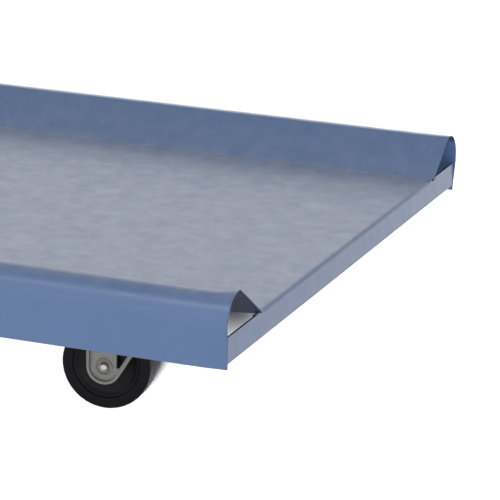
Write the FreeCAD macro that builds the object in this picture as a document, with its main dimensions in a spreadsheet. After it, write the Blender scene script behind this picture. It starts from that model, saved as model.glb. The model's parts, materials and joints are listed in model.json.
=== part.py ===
import FreeCAD, Part
import math
import os
import Sketcher
from FreeCAD import Placement, Rotation, Vector

# Folding platform cart: a pressed steel deck with two hollow rolled side lips, two swivel
# casters at the nose, two rigid casters under a folding U handle.
#
# Frame: +X points to the nose, the handle stands at the -X end, +Y is the left side,
# +Z is up. The origin is on the floor, under the centre of the bounding box.

doc = FreeCAD.newDocument("FoldingPlatformCart")

# ---------------------------------------------------------------- driving dimensions, mm

SIZES = (
    ("deck_length", 1219.2, "deck, end to end"),
    ("deck_width", 762.0, "deck over both skirts"),
    ("sheet", 2.5, "deck sheet thickness"),
    ("skirt_drop", 36.0, "side skirt below the deck surface"),
    ("lip_rise", 38.0, "lip crest above the deck surface"),
    ("lip_radius", 28.0, "outer radius of the rolled lip"),
    ("lip_crest", 33.0, "crest crease, in from the skirt face"),
    ("lip_run", 90.5, "foot of the lip, in from the skirt face"),
    ("crest_bend", 5.0, "outer radius of the crest crease"),
    ("foot_bend", 4.0, "upper radius at the foot of the lip"),
    ("flange_drop", 30.0, "end flange below the deck surface"),
    ("flange_bend", 4.5, "outer radius between deck and end flange"),
    ("bend_relief", 1.5, "slit beside each end bend"),
    ("corner_gap", 0.8, "gap between end flange and skirt"),
    ("channel_web", 116.0, "caster channel, width of its flat"),
    ("channel_foot", 15.0, "caster channel, each welding foot"),
    ("channel_depth", 11.0, "caster channel, overall depth"),
    ("channel_sheet", 3.0, "caster channel sheet thickness"),
    ("channel_span", 730.0, "caster channel, length across the cart"),
    ("stringer_web", 70.0, "centre stringer, width of its flat"),
    ("stringer_foot", 18.0, "centre stringer, each welding foot"),
    ("stringer_depth", 25.0, "centre stringer, overall depth"),
    ("stringer_sheet", 2.0, "centre stringer sheet thickness"),
    ("caster_setback", 153.5, "caster centre from the deck end"),
    ("caster_inset", 125.0, "caster centre from the skirt face"),
    ("caster_height", 127.2, "floor to the top of the caster plate"),
    ("swivel_angle", 6.0, "front casters, turn from straight ahead at rest"),
    ("wheel_trail", 33.0, "swivel axis to wheel centre"),
    ("wheel_radius", 50.8, "tyre outer radius"),
    ("wheel_width", 30.0, "tyre width"),
    ("core_radius", 38.0, "wheel core, outer radius"),
    ("hub_width", 36.0, "wheel hub, overall width"),
    ("plate_long", 100.0, "caster plate along the cart"),
    ("plate_wide", 86.0, "caster plate across the cart"),
    ("plate_sheet", 3.0, "caster plate thickness"),
    ("bolt_long", 80.0, "caster bolt spacing along the cart"),
    ("bolt_wide", 62.0, "caster bolt spacing across the cart"),
    ("fork_gap", 38.0, "inside width of the fork"),
    ("fork_sheet", 3.0, "fork sheet thickness"),
    ("leg_end_radius", 20.0, "rounded end of a fork leg"),
    ("leg_slant", 58.5, "front edge of a fork leg from level, degrees"),
    ("window_lead", 14.8, "fork window, rear edge ahead of the axle"),
    ("window_rise", 30.0, "fork window, top above the axle"),
    ("window_rim", 5.0, "fork metal left in front of the window"),
    ("crown_top", 111.4, "fork crown above the floor"),
    ("crown_radius", 30.0, "round part of the fork crown"),
    ("race_inner", 18.0, "ball race, inner radius"),
    ("race_outer", 28.0, "ball race, outer radius"),
    ("ball_radius", 2.5, "swivel balls"),
    ("tube_radius", 13.5, "handle tube, outer radius"),
    ("tube_wall", 2.0, "handle tube wall"),
    ("handle_reach", 850.0, "pivot to the middle of the cross bar"),
    ("handle_half", 255.0, "handle leg from the cart's centre line"),
    ("handle_bend", 95.0, "handle bend radius at the tube's middle"),
    ("handle_tail", 55.0, "handle leg below its pivot"),
    ("handle_lean", 7.0, "handle behind upright at rest, degrees"),
    ("pivot_rise", 17.5, "handle pivot above the deck surface"),
    ("grip_radius", 16.5, "hand grip, outer radius"),
    ("grip_length", 290.0, "hand grip length"),
    ("ear_gap", 29.4, "inside width between bracket ears"),
    ("ear_sheet", 4.0, "bracket plate thickness"),
    ("bracket_wide", 92.0, "bracket base plate width"),
    ("bracket_drop", 46.0, "bracket base plate below the deck surface"),
    ("ear_round", 17.0, "rounded top of a bracket ear"),
    ("ear_margin", 11.5, "ear metal beyond the lock pin"),
    ("bracket_bolt_side", 34.0, "bracket bolts, each side of the leg"),
    ("bracket_bolt_drop", 16.5, "bracket bolts below the deck surface"),
    ("lock_drop", 38.0, "lock pin below the pivot, along the leg"),
    ("lock_gap", 0.6, "gap between an engaged lock pin and the leg"),
    ("lock_radius", 5.0, "lock pin radius"),
    ("lock_travel", 36.0, "lock pin stroke"),
    ("lock_sleeve_length", 30.0, "guide sleeve of a lock pin"),
    ("lock_sleeve_radius", 9.0, "guide sleeve, outer radius"),
    ("screw_radius", 4.0, "caster and bracket bolts, M8"),
    ("screw_hole", 4.25, "hole for an M8 bolt"),
    ("axle_radius", 5.0, "axle bolt, M10"),
    ("bearing_bore", 7.55, "hub bearing, inner radius"),
    ("sleeve_radius", 7.5, "axle sleeve, outer radius"),
    ("bearing_radius", 11.0, "hub bearing, outer radius"),
    ("pivot_radius", 6.0, "handle pivot bolt, M12"),
    ("bushing_radius", 9.0, "handle bushing, outer radius"),
    ("kingpin_radius", 5.0, "kingpin shank"),
    ("running_gap", 0.05, "radial gap of a turning or sliding fit"),
)

sheet = doc.addObject("Spreadsheet::Sheet", "Sizes")
for row, (alias, value, note) in enumerate(SIZES, start=1):
    sheet.set(f"A{row}", note)
    sheet.set(f"B{row}", str(value))
    sheet.setAlias(f"B{row}", alias)
doc.recompute()


def size(alias):
    return float(sheet.get(alias))


# -------------------------------------------------------------------- modelling helpers

NODES = {}


def keep(label, feature, placement=Placement()):
    """Registers a finished sub-part and puts it in its place."""
    feature.Label = label
    feature.Placement = placement
    NODES[label] = feature
    return feature


def plane_of(body, role):
    return next(item for item in body.Origin.OriginFeatures if item.Role == role)


def new_sketch(body, role, name, lift=0.0):
    """Sketch on an origin plane of the body, lifted along the plane's normal."""
    sketch = body.newObject("Sketcher::SketchObject", name)
    sketch.AttachmentSupport = [(plane_of(body, role), "")]
    sketch.MapMode = "FlatFace"
    sketch.AttachmentOffset = Placement(Vector(0, 0, lift), Rotation())
    return sketch


def pin_down(sketch, geometry, end, across, upward):
    """Ties one end of a line to two expressions, measured from the sketch's origin."""
    for kind, text in (("DistanceX", across), ("DistanceY", upward)):
        value = float(sketch.evalExpression(text))
        index = sketch.addConstraint(Sketcher.Constraint(kind, -1, 1, geometry, end, value))
        sketch.setExpression(f"Constraints[{index}]", text)


def outline(body, role, name, corners, lift=0.0):
    """Closed polygon whose corners are pairs of expressions."""
    sketch = new_sketch(body, role, name, lift)
    points = [
        Vector(float(sketch.evalExpression(a)), float(sketch.evalExpression(b)), 0)
        for a, b in corners
    ]
    count = len(points)
    for k in range(count):
        sketch.addGeometry(Part.LineSegment(points[k], points[(k + 1) % count]))
    for k in range(count):
        sketch.addConstraint(Sketcher.Constraint("Coincident", k, 2, (k + 1) % count, 1))
    for k, (across, upward) in enumerate(corners):
        pin_down(sketch, k, 1, across, upward)
    return sketch


def circles(body, role, name, discs, lift=0.0):
    """Sketch of circles, each given as expressions (across, upward, radius)."""
    sketch = new_sketch(body, role, name, lift)
    for across, upward, radius in discs:
        values = [float(sketch.evalExpression(text)) for text in (across, upward, radius)]
        centre = Vector(values[0], values[1], 0)
        ring = sketch.addGeometry(Part.Circle(centre, Vector(0, 0, 1), values[2]))
        pin_down(sketch, ring, 3, across, upward)
        index = sketch.addConstraint(Sketcher.Constraint("Radius", ring, values[2]))
        sketch.setExpression(f"Constraints[{index}]", radius)
    return sketch


def pad(body, sketch, length, both_ways=False, backwards=False):
    feature = body.newObject("PartDesign::Pad", sketch.Name + "_pad")
    feature.Profile = sketch
    feature.setExpression("Length", length)
    feature.Midplane = both_ways
    feature.Reversed = backwards
    doc.recompute()
    return feature


def pocket(body, sketch):
    """Cuts the sketch right through the body, both ways."""
    before = body.Tip.Shape.Volume
    feature = body.newObject("PartDesign::Pocket", sketch.Name + "_cut")
    feature.Profile = sketch
    feature.Type = "ThroughAll"
    feature.Midplane = True
    doc.recompute()
    if feature.Shape.Volume > before - 1.0:
        raise RuntimeError(f"{body.Label}: {sketch.Name} cuts nothing")
    return feature


def slot_cut(body, sketch, depth, backwards=False):
    """Cuts the sketch to a set depth."""
    before = body.Tip.Shape.Volume
    feature = body.newObject("PartDesign::Pocket", sketch.Name + "_cut")
    feature.Profile = sketch
    feature.setExpression("Length", depth)
    feature.Reversed = backwards
    doc.recompute()
    if feature.Shape.Volume > before - 1.0:
        raise RuntimeError(f"{body.Label}: {sketch.Name} cuts nothing")
    return feature


def fillet_edges(body, direction, places, radius):
    """Rounds the straight edges along a direction that pass through the given places."""
    base = body.Tip
    names = []
    for number, edge in enumerate(base.Shape.Edges, start=1):
        if len(edge.Vertexes) != 2:
            continue
        start, end = (vertex.Point for vertex in edge.Vertexes)
        run = end.sub(start)
        if run.Length < 1.0 or run.cross(direction).Length > 1e-4 * run.Length:
            continue
        for place in places:
            if start.sub(place).cross(direction).Length < 0.02:
                names.append(f"Edge{number}")
                break
    if len(names) < len(places):
        raise RuntimeError(f"{body.Label}: {len(names)} edges found for {len(places)} places")
    feature = body.newObject("PartDesign::Fillet", f"{body.Name}_round")
    feature.Base = (base, names)
    feature.setExpression("Radius", radius)
    doc.recompute()
    return feature


def turned(label, profile, placement=Placement()):
    """Solid of revolution about Y: profile corners are expressions (radius, along Y)."""
    body = doc.addObject("PartDesign::Body", label)
    sketch = outline(body, "XY_Plane", f"{label}_half_section", profile)
    feature = body.newObject("PartDesign::Revolution", f"{label}_turn")
    feature.Profile = sketch
    feature.ReferenceAxis = (sketch, ["V_Axis"])
    feature.Angle = 360.0
    doc.recompute()
    return keep(label, body, placement)


def tube_profile(outer, inner, half_length):
    return (
        (inner, f"-{half_length}"),
        (outer, f"-{half_length}"),
        (outer, half_length),
        (inner, half_length),
    )


def hexagon(across_flats, thickness):
    """Hexagonal prism about Z, standing on z = 0."""
    corner = across_flats / math.sqrt(3.0)
    points = [
        Vector(corner * math.cos(math.radians(60 * k)), corner * math.sin(math.radians(60 * k)), 0)
        for k in range(7)
    ]
    return Part.Face(Part.makePolygon(points)).extrude(Vector(0, 0, thickness))


def chamfered(prism, across_flats, thickness):
    """Takes the corners off a hexagon's outer face with the usual 30 degree cone."""
    reach = across_flats / math.sqrt(3.0)
    drop = (reach - across_flats / 2.0) * math.tan(math.radians(30.0))
    cone = Part.makeCone(reach, across_flats / 2.0, drop, Vector(0, 0, thickness - drop))
    body = Part.makeCylinder(reach + 1.0, thickness - drop)
    return prism.common(body.fuse(cone))


def hex_bolt(radius, length, across_flats, head):
    """Bolt about Z: the head stands on z = 0, the shank hangs below it."""
    cap = chamfered(hexagon(across_flats, head), across_flats, head)
    shank = Part.makeCylinder(radius, length, Vector(0, 0, -length))
    return cap.fuse(shank).removeSplitter()


def hex_nut(radius, across_flats, thickness):
    """Nut about Z, standing on z = 0."""
    block = chamfered(hexagon(across_flats, thickness), across_flats, thickness)
    return block.cut(Part.makeCylinder(radius, thickness))


def hardware(label, shape, places):
    """One node of separate identical fasteners, one at each place."""
    copies = []
    for place in places:
        copy = shape.copy()
        copy.Placement = place
        copies.append(copy)
    feature = doc.addObject("Part::Feature", label)
    feature.Shape = Part.makeCompound(copies) if len(copies) > 1 else copies[0]
    feature.Label = label
    NODES[label] = feature
    return feature


# Hexagon sizes across the flats and head and nut heights, in millimetres.
M8_FLATS, M8_HEAD, M8_NUT = 13.0, 5.3, 6.8
M10_FLATS, M10_HEAD, M10_NUT = 17.0, 6.4, 9.0
M12_FLATS, M12_HEAD, M12_NUT = 18.0, 7.5, 10.0
AXLE_HOLE = "Sizes.axle_radius+Sizes.running_gap"

# ------------------------------------------------------------- where things are, row frame

lean = math.radians(size("handle_lean"))
stop_gap = 0.4
cap_flange = 2.0

# The handle's tails rest against the bracket plates, which sets how far back the pivot is.
pivot_back = (
    size("ear_sheet")
    + stop_gap
    + size("tube_radius") * math.cos(lean)
    + (size("handle_tail") + cap_flange) * math.sin(lean)
)
handle_overhang = (
    pivot_back + size("handle_reach") * math.sin(lean) + size("grip_radius")
)

deck_top = size("caster_height") + size("channel_depth") + size("sheet")
deck_rear = -(size("deck_length") + handle_overhang) / 2.0 + handle_overhang
deck_front = deck_rear + size("deck_length")
deck_middle = (deck_rear + deck_front) / 2.0
front_axis = deck_front - size("caster_setback")
rear_axis = deck_rear + size("caster_setback")
caster_side = size("deck_width") / 2.0 - size("caster_inset")
SIDES = (("right", -1.0), ("left", 1.0))

# -------------------------------------------------------------------------- deck pan

HALF = "Sizes.deck_width/2"
LIP_LEAN = "atan(Sizes.lip_rise/(Sizes.lip_run-Sizes.lip_crest))"
INNER_SHIFT = f"Sizes.sheet*tan({LIP_LEAN}/2)"


def pan_section():
    """Corners of the formed sheet, square before its bends are rounded."""
    outer = (
        (HALF, "-Sizes.skirt_drop"),
        (HALF, "Sizes.lip_rise"),
        (f"{HALF}-Sizes.lip_crest", "Sizes.lip_rise"),
        (f"{HALF}-Sizes.lip_run", "0"),
    )
    inner = (
        (f"{HALF}-Sizes.sheet", "-Sizes.skirt_drop"),
        (f"{HALF}-Sizes.sheet", "Sizes.lip_rise-Sizes.sheet"),
        (f"{HALF}-Sizes.lip_crest+{INNER_SHIFT}", "Sizes.lip_rise-Sizes.sheet"),
        (f"{HALF}-Sizes.lip_run+{INNER_SHIFT}", "-Sizes.sheet"),
    )

    def mirrored(corners):
        return [(f"-({across})", upward) for across, upward in corners]

    return list(outer) + mirrored(outer)[::-1] + mirrored(inner) + list(inner)[::-1]


def make_deck_pan():
    body = doc.addObject("PartDesign::Body", "deck_pan")
    half = size("deck_width") / 2.0
    thick = size("sheet")
    slope = math.atan(size("lip_rise") / (size("lip_run") - size("lip_crest")))
    shift = thick * math.tan(slope / 2.0)
    along = Vector(1, 0, 0)
    pad(body, outline(body, "YZ_Plane", "pan_section", pan_section()), "Sizes.deck_length", True)

    def both_sides(inset, height):
        return [Vector(0, side * (half - inset), height) for side in (-1, 1)]

    rise = size("lip_rise")
    crest = size("lip_crest")
    run = size("lip_run")
    fillet_edges(body, along, both_sides(0, rise), "Sizes.lip_radius")
    fillet_edges(body, along, both_sides(thick, rise - thick), "Sizes.lip_radius-Sizes.sheet")
    fillet_edges(body, along, both_sides(crest, rise), "Sizes.crest_bend")
    fillet_edges(
        body, along, both_sides(crest - shift, rise - thick), "Sizes.crest_bend-Sizes.sheet"
    )
    fillet_edges(body, along, both_sides(run, 0), "Sizes.foot_bend")
    fillet_edges(body, along, both_sides(run - shift, -thick), "Sizes.foot_bend+Sizes.sheet")

    # The deck stops short at each end, and turns down through a bend into the end flange.
    flat_half = "(Sizes.deck_width/2-Sizes.lip_run-Sizes.bend_relief)"
    for end, sign in (("nose", ""), ("tail", "-")):
        near = f"{sign}(Sizes.deck_length/2-Sizes.flange_bend)"
        tip = f"{sign}(Sizes.deck_length/2)"
        past = f"{sign}(Sizes.deck_length/2+5)"
        strip = outline(
            body,
            "XY_Plane",
            f"{end}_strip",
            (
                (near, f"-{flat_half}-Sizes.bend_relief"),
                (past, f"-{flat_half}-Sizes.bend_relief"),
                (past, f"{flat_half}+Sizes.bend_relief"),
                (near, f"{flat_half}+Sizes.bend_relief"),
            ),
            lift=-2.0 * thick,
        )
        slot_cut(body, strip, "3*Sizes.sheet", backwards=True)
        face = f"{sign}(Sizes.deck_length/2-Sizes.sheet)"
        turn_down = outline(
            body,
            "XZ_Plane",
            f"{end}_turn_down",
            (
                (near, "0"),
                (tip, "0"),
                (tip, "-Sizes.flange_drop"),
                (face, "-Sizes.flange_drop"),
                (face, "-Sizes.sheet"),
                (near, "-Sizes.sheet"),
            ),
        )
        pad(body, turn_down, f"2*{flat_half}", both_ways=True)
        tip_x = float(body.evalExpression(tip))
        face_x = float(body.evalExpression(face))
        fillet_edges(body, Vector(0, 1, 0), [Vector(tip_x, 0, 0)], "Sizes.flange_bend")
        fillet_edges(
            body, Vector(0, 1, 0), [Vector(face_x, 0, -thick)], "Sizes.flange_bend-Sizes.sheet"
        )
        edge = "(Sizes.deck_width/2-Sizes.sheet-Sizes.corner_gap)"
        tab = "(Sizes.deck_width/2-Sizes.lip_run+6)"
        tabs = outline(
            body,
            "YZ_Plane",
            f"{end}_tabs",
            (
                (f"-{edge}", "-Sizes.flange_drop"),
                (edge, "-Sizes.flange_drop"),
                (edge, "-0.4"),
                (tab, "-0.4"),
                (tab, "-Sizes.flange_bend-1"),
                (f"-{tab}", "-Sizes.flange_bend-1"),
                (f"-{tab}", "-0.4"),
                (f"-{edge}", "-0.4"),
            ),
            lift=tip_x - (thick if sign == "" else 0.0),
        )
        pad(body, tabs, "Sizes.sheet")

    holes = [
        (
            f"{side}*Sizes.handle_half+{hand}*Sizes.bracket_bolt_side",
            "-Sizes.bracket_bolt_drop",
            "Sizes.screw_hole",
        )
        for side in (-1, 1)
        for hand in (-1, 1)
    ]
    rear_holes = circles(
        body, "YZ_Plane", "bracket_holes", holes, lift=-size("deck_length") / 2.0 - 1.0
    )
    slot_cut(body, rear_holes, "3*Sizes.sheet", backwards=True)
    return keep("deck_pan", body, Placement(Vector(deck_middle, 0, deck_top), Rotation()))


make_deck_pan()


# ------------------------------------------------------------- channels under the deck


def hat_section(web, foot, depth, thick):
    """Hat section, open at the top, whose two feet lie against z = 0."""
    half = f"{web}/2"
    right = (
        (f"{half}-{thick}", "0"),
        (f"{half}+{foot}", "0"),
        (f"{half}+{foot}", f"-{thick}"),
        (half, f"-{thick}"),
        (half, f"-{depth}"),
    )
    left = [(f"-({across})", upward) for across, upward in right][::-1]
    floor = ((f"-({half}-{thick})", f"-{depth}+{thick}"), (f"{half}-{thick}", f"-{depth}+{thick}"))
    return list(right) + left + list(floor)


def make_caster_channel(label, across):
    body = doc.addObject("PartDesign::Body", label)
    section = hat_section(
        "Sizes.channel_web", "Sizes.channel_foot", "Sizes.channel_depth", "Sizes.channel_sheet"
    )
    pad(body, outline(body, "XZ_Plane", f"{label}_section", section), "Sizes.channel_span", True)
    holes = [
        (
            f"{lengthwise}*Sizes.bolt_long/2",
            f"{side}*(Sizes.deck_width/2-Sizes.caster_inset)+{hand}*Sizes.bolt_wide/2",
            "Sizes.screw_hole",
        )
        for lengthwise in (-1, 1)
        for side in (-1, 1)
        for hand in (-1, 1)
    ]
    pocket(body, circles(body, "XY_Plane", f"{label}_holes", holes))
    return keep(label, body, Placement(Vector(across, 0, deck_top - size("sheet")), Rotation()))


make_caster_channel("front_caster_channel", front_axis)
make_caster_channel("rear_caster_channel", rear_axis)


def make_stringer():
    body = doc.addObject("PartDesign::Body", "centre_stringer")
    section = hat_section(
        "Sizes.stringer_web", "Sizes.stringer_foot", "Sizes.stringer_depth", "Sizes.stringer_sheet"
    )
    reach = "Sizes.deck_length-2*Sizes.caster_setback-Sizes.channel_web-2*Sizes.channel_foot-6"
    pad(body, outline(body, "YZ_Plane", "stringer_section", section), reach, True)
    place = Placement(Vector(deck_middle, 0, deck_top - size("sheet")), Rotation())
    return keep("centre_stringer", body, place)


make_stringer()

# --------------------------------------------------------------------------- casters

WHEEL_Z = size("wheel_radius")
PLATE_TOP = size("caster_height")
PLATE_HOLES = [
    (f"{a}*Sizes.bolt_long/2", f"{b}*Sizes.bolt_wide/2", "Sizes.screw_hole")
    for a in (-1, 1)
    for b in (-1, 1)
]
PLATE_CORNERS = (
    ("-Sizes.plate_long/2", "-Sizes.plate_wide/2"),
    ("Sizes.plate_long/2", "-Sizes.plate_wide/2"),
    ("Sizes.plate_long/2", "Sizes.plate_wide/2"),
    ("-Sizes.plate_long/2", "Sizes.plate_wide/2"),
)
KINGPIN_RADIUS = "Sizes.kingpin_radius"
race_floor = size("crown_top") + 2.0
ball_level = race_floor + 0.35 + size("ball_radius")


def make_plate(body, name):
    """Caster plate whose top is at the caster's height, with rounded corners."""
    lift = PLATE_TOP - size("plate_sheet")
    pad(body, outline(body, "XY_Plane", f"{name}_blank", PLATE_CORNERS, lift), "Sizes.plate_sheet")
    corners = [
        Vector(a * size("plate_long") / 2.0, b * size("plate_wide") / 2.0, 0)
        for a in (-1, 1)
        for b in (-1, 1)
    ]
    fillet_edges(body, Vector(0, 0, 1), corners, "8")


def make_top_plate(label, place):
    """Swivel caster plate with the upper ball race pressed down out of it."""
    body = doc.addObject("PartDesign::Body", label)
    make_plate(body, label)
    race_top = ball_level + size("ball_radius")
    drop = PLATE_TOP - size("plate_sheet") - race_top
    race = circles(
        body, "XY_Plane", f"{label}_race", [("0", "0", "Sizes.race_outer")], lift=race_top
    )
    pad(body, race, f"{drop + 0.5}")
    pocket(body, circles(body, "XY_Plane", f"{label}_holes", PLATE_HOLES))
    pocket(body, circles(body, "XY_Plane", f"{label}_bore", [("0", "0", KINGPIN_RADIUS)]))
    return keep(label, body, place)


def make_kingpin(label, place):
    """Rivet that holds the fork: its head is under the crown, its shank through the plate."""
    head_top = size("crown_top") - size("fork_sheet") - 0.5
    profile = (
        ("0", f"{head_top - 4.5}"),
        ("7", f"{head_top - 4.5}"),
        ("9.5", f"{head_top - 3.0}"),
        ("9.5", f"{head_top}"),
        (KINGPIN_RADIUS, f"{head_top}"),
        (KINGPIN_RADIUS, f"{PLATE_TOP}"),
        ("0", f"{PLATE_TOP}"),
    )
    upright = Placement(Vector(), Rotation(Vector(1, 0, 0), 90))
    return turned(label, profile, place.multiply(upright))


def make_balls(label, place):
    """Ring of balls between the two races."""
    count = 22
    pitch = (size("race_inner") + size("race_outer")) / 2.0
    ball = Part.makeSphere(size("ball_radius"))
    places = []
    for k in range(count):
        turn = 2.0 * math.pi * k / count
        spot = Vector(pitch * math.cos(turn), pitch * math.sin(turn), ball_level)
        places.append(place.multiply(Placement(spot, Rotation())))
    return hardware(label, ball, places)


def add_leg(body, name, corners, axle_across, side):
    """One fork leg: a tapered plate with a round end about the axle."""
    inner = size("fork_gap") / 2.0
    thick = size("fork_sheet")
    lift = inner if side < 0 else -inner - thick
    pad(body, outline(body, "XZ_Plane", f"{name}_leg", corners, lift), "Sizes.fork_sheet")
    end = [(axle_across, "Sizes.wheel_radius", "Sizes.leg_end_radius")]
    pad(body, circles(body, "XZ_Plane", f"{name}_leg_end", end, lift), "Sizes.fork_sheet")


def leg_window(body, label):
    """Triangle cut out of the fork legs, between the axle and the slanted front rim."""
    inner = "(Sizes.leg_end_radius-Sizes.window_rim)"
    across = f"{inner}*sin(Sizes.leg_slant*1deg)"
    drop = f"{inner}*cos(Sizes.leg_slant*1deg)"
    slope = "tan(Sizes.leg_slant*1deg)"
    low = f"(Sizes.window_lead-{across})*{slope}-{drop}"
    far = f"{across}+(Sizes.window_rise+{drop})/{slope}"
    corners = (
        ("Sizes.window_lead-Sizes.wheel_trail", f"Sizes.wheel_radius+{low}"),
        (f"{far}-Sizes.wheel_trail", "Sizes.wheel_radius+Sizes.window_rise"),
        ("Sizes.window_lead-Sizes.wheel_trail", "Sizes.wheel_radius+Sizes.window_rise"),
    )
    return outline(body, "XZ_Plane", f"{label}_window", corners)


def make_fork(label, place):
    """Swivel fork: round crown, lower ball race and two legs that trail behind the kingpin."""
    body = doc.addObject("PartDesign::Body", label)
    back = "-Sizes.wheel_trail-Sizes.leg_end_radius"
    tangent_across = "-Sizes.wheel_trail+Sizes.leg_end_radius*sin(Sizes.leg_slant*1deg)"
    tangent_up = "Sizes.wheel_radius-Sizes.leg_end_radius*cos(Sizes.leg_slant*1deg)"
    front = f"{tangent_across}+(Sizes.crown_top-({tangent_up}))/tan(Sizes.leg_slant*1deg)"
    outside = "(Sizes.fork_gap/2+Sizes.fork_sheet)"
    crown_base = size("crown_top") - size("fork_sheet")
    crown = (
        (back, f"-{outside}"),
        (front, f"-{outside}"),
        (front, outside),
        (back, outside),
    )
    pad(body, outline(body, "XY_Plane", f"{label}_crown", crown, crown_base), "Sizes.fork_sheet")
    disc = circles(
        body, "XY_Plane", f"{label}_disc", [("0", "0", "Sizes.crown_radius")], crown_base
    )
    pad(body, disc, "Sizes.fork_sheet")
    corners = (
        (back, "Sizes.crown_top"),
        (front, "Sizes.crown_top"),
        (tangent_across, tangent_up),
        ("-Sizes.wheel_trail", "Sizes.wheel_radius"),
        (back, "Sizes.wheel_radius"),
    )
    for side in (-1, 1):
        add_leg(body, f"{label}_{'near' if side < 0 else 'far'}", corners, "-Sizes.wheel_trail", side)
    race = circles(
        body,
        "XY_Plane",
        f"{label}_race",
        [("0", "0", "Sizes.race_outer"), ("0", "0", "Sizes.race_inner")],
        size("crown_top") - 0.5,
    )
    pad(body, race, f"{race_floor - size('crown_top') + 0.5}")
    pocket(body, circles(body, "XY_Plane", f"{label}_bore", [("0", "0", "Sizes.kingpin_radius+0.5")]))
    axle = [("-Sizes.wheel_trail", "Sizes.wheel_radius", AXLE_HOLE)]
    pocket(body, circles(body, "XZ_Plane", f"{label}_axle_hole", axle))
    pocket(body, leg_window(body, label))
    return keep(label, body, place)


def make_rigid_frame(label, place):
    """Rigid caster frame: plate and two straight legs in one pressing."""
    body = doc.addObject("PartDesign::Body", label)
    make_plate(body, label)
    taper = 76.0
    shoulder = "38"
    tangent = f"Sizes.leg_end_radius*sin({taper}deg)"
    tangent_up = f"Sizes.wheel_radius-Sizes.leg_end_radius*cos({taper}deg)"
    top = f"{PLATE_TOP - 1.0}"
    corners = (
        (f"-{shoulder}", top),
        (shoulder, top),
        (tangent, tangent_up),
        ("0", "Sizes.wheel_radius"),
        (f"-{tangent}", tangent_up),
    )
    for side in (-1, 1):
        add_leg(body, f"{label}_{'near' if side < 0 else 'far'}", corners, "0", side)
    pocket(body, circles(body, "XY_Plane", f"{label}_holes", PLATE_HOLES))
    pocket(body, circles(body, "XZ_Plane", f"{label}_axle_hole", [("0", "Sizes.wheel_radius", AXLE_HOLE)]))
    return keep(label, body, place)


def make_wheel(name, place):
    """Wheel core, tyre and plain bearing, turned about the axle."""
    half = "Sizes.wheel_width/2"
    turned(
        f"{name}_tyre",
        (
            ("Sizes.core_radius", f"-{half}+1"),
            ("Sizes.core_radius+3", f"-{half}"),
            ("Sizes.wheel_radius-6", f"-{half}"),
            ("Sizes.wheel_radius-2.2", f"-{half}+2.2"),
            ("Sizes.wheel_radius-0.4", f"-{half}+6"),
            ("Sizes.wheel_radius", f"-{half}+10"),
            ("Sizes.wheel_radius", f"{half}-10"),
            ("Sizes.wheel_radius-0.4", f"{half}-6"),
            ("Sizes.wheel_radius-2.2", f"{half}-2.2"),
            ("Sizes.wheel_radius-6", half),
            ("Sizes.core_radius+3", half),
            ("Sizes.core_radius", f"{half}-1"),
        ),
        place,
    )
    rim = f"({half}-1)"
    turned(
        f"{name}_core",
        (
            ("Sizes.bearing_radius", "-Sizes.hub_width/2"),
            ("16", "-Sizes.hub_width/2"),
            ("18", "-4.5"),
            ("Sizes.core_radius-4.5", "-4"),
            ("Sizes.core_radius-3.5", f"-{rim}"),
            ("Sizes.core_radius", f"-{rim}"),
            ("Sizes.core_radius", rim),
            ("Sizes.core_radius-3.5", rim),
            ("Sizes.core_radius-4.5", "4"),
            ("18", "4.5"),
            ("16", "Sizes.hub_width/2"),
            ("Sizes.bearing_radius", "Sizes.hub_width/2"),
        ),
        place,
    )
    bearing = tube_profile("Sizes.bearing_radius", "Sizes.bearing_bore", "(Sizes.hub_width/2)")
    turned(f"{name}_hub_bearing", bearing, place)


def make_axle(name, place):
    """Axle bolt, its nut and the sleeve that the bearing turns on."""
    outside = size("fork_gap") / 2.0 + size("fork_sheet")
    toward_right = Placement(Vector(0, -outside, 0), Rotation(Vector(1, 0, 0), 90))
    toward_left = Placement(Vector(0, outside, 0), Rotation(Vector(1, 0, 0), -90))
    thread_end = 11.0
    bolt = hex_bolt(size("axle_radius"), 2.0 * outside + thread_end, M10_FLATS, M10_HEAD)
    hardware(f"{name}_axle_bolt", bolt, [place.multiply(toward_right)])
    nut = hex_nut(size("axle_radius"), M10_FLATS, M10_NUT)
    hardware(f"{name}_axle_nut", nut, [place.multiply(toward_left)])
    sleeve = tube_profile("Sizes.sleeve_radius", AXLE_HOLE, "(Sizes.fork_gap/2)")
    turned(f"{name}_axle_sleeve", sleeve, place)


bolt_places = []
nut_places = []


def add_plate_fasteners(across, side):
    """Bolt heads lie in the channel, and the nuts are under the caster plate."""
    web_top = deck_top - size("sheet") - size("channel_depth") + size("channel_sheet")
    plate_under = PLATE_TOP - size("plate_sheet")
    for a in (-1, 1):
        for b in (-1, 1):
            x = across + a * size("bolt_long") / 2.0
            y = side * caster_side + b * size("bolt_wide") / 2.0
            bolt_places.append(Placement(Vector(x, y, web_top), Rotation()))
            nut_places.append(Placement(Vector(x, y, plate_under), Rotation(Vector(1, 0, 0), 180)))


for side_name, side in SIDES:
    name = f"front_{side_name}"
    stand = Placement(Vector(front_axis, side * caster_side, 0), Rotation())
    swivel = stand.multiply(Placement(Vector(), Rotation(Vector(0, 0, 1), size("swivel_angle"))))
    axle = swivel.multiply(Placement(Vector(-size("wheel_trail"), 0, WHEEL_Z), Rotation()))
    make_top_plate(f"{name}_top_plate", stand)
    make_kingpin(f"{name}_kingpin", stand)
    make_balls(f"{name}_race_balls", stand)
    make_fork(f"{name}_fork", swivel)
    make_axle(name, axle)
    make_wheel(name, axle)
    add_plate_fasteners(front_axis, side)

for side_name, side in SIDES:
    name = f"rear_{side_name}"
    stand = Placement(Vector(rear_axis, side * caster_side, 0), Rotation())
    axle = stand.multiply(Placement(Vector(0, 0, WHEEL_Z), Rotation()))
    make_rigid_frame(f"{name}_frame", stand)
    make_axle(name, axle)
    make_wheel(name, axle)
    add_plate_fasteners(rear_axis, side)

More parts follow.
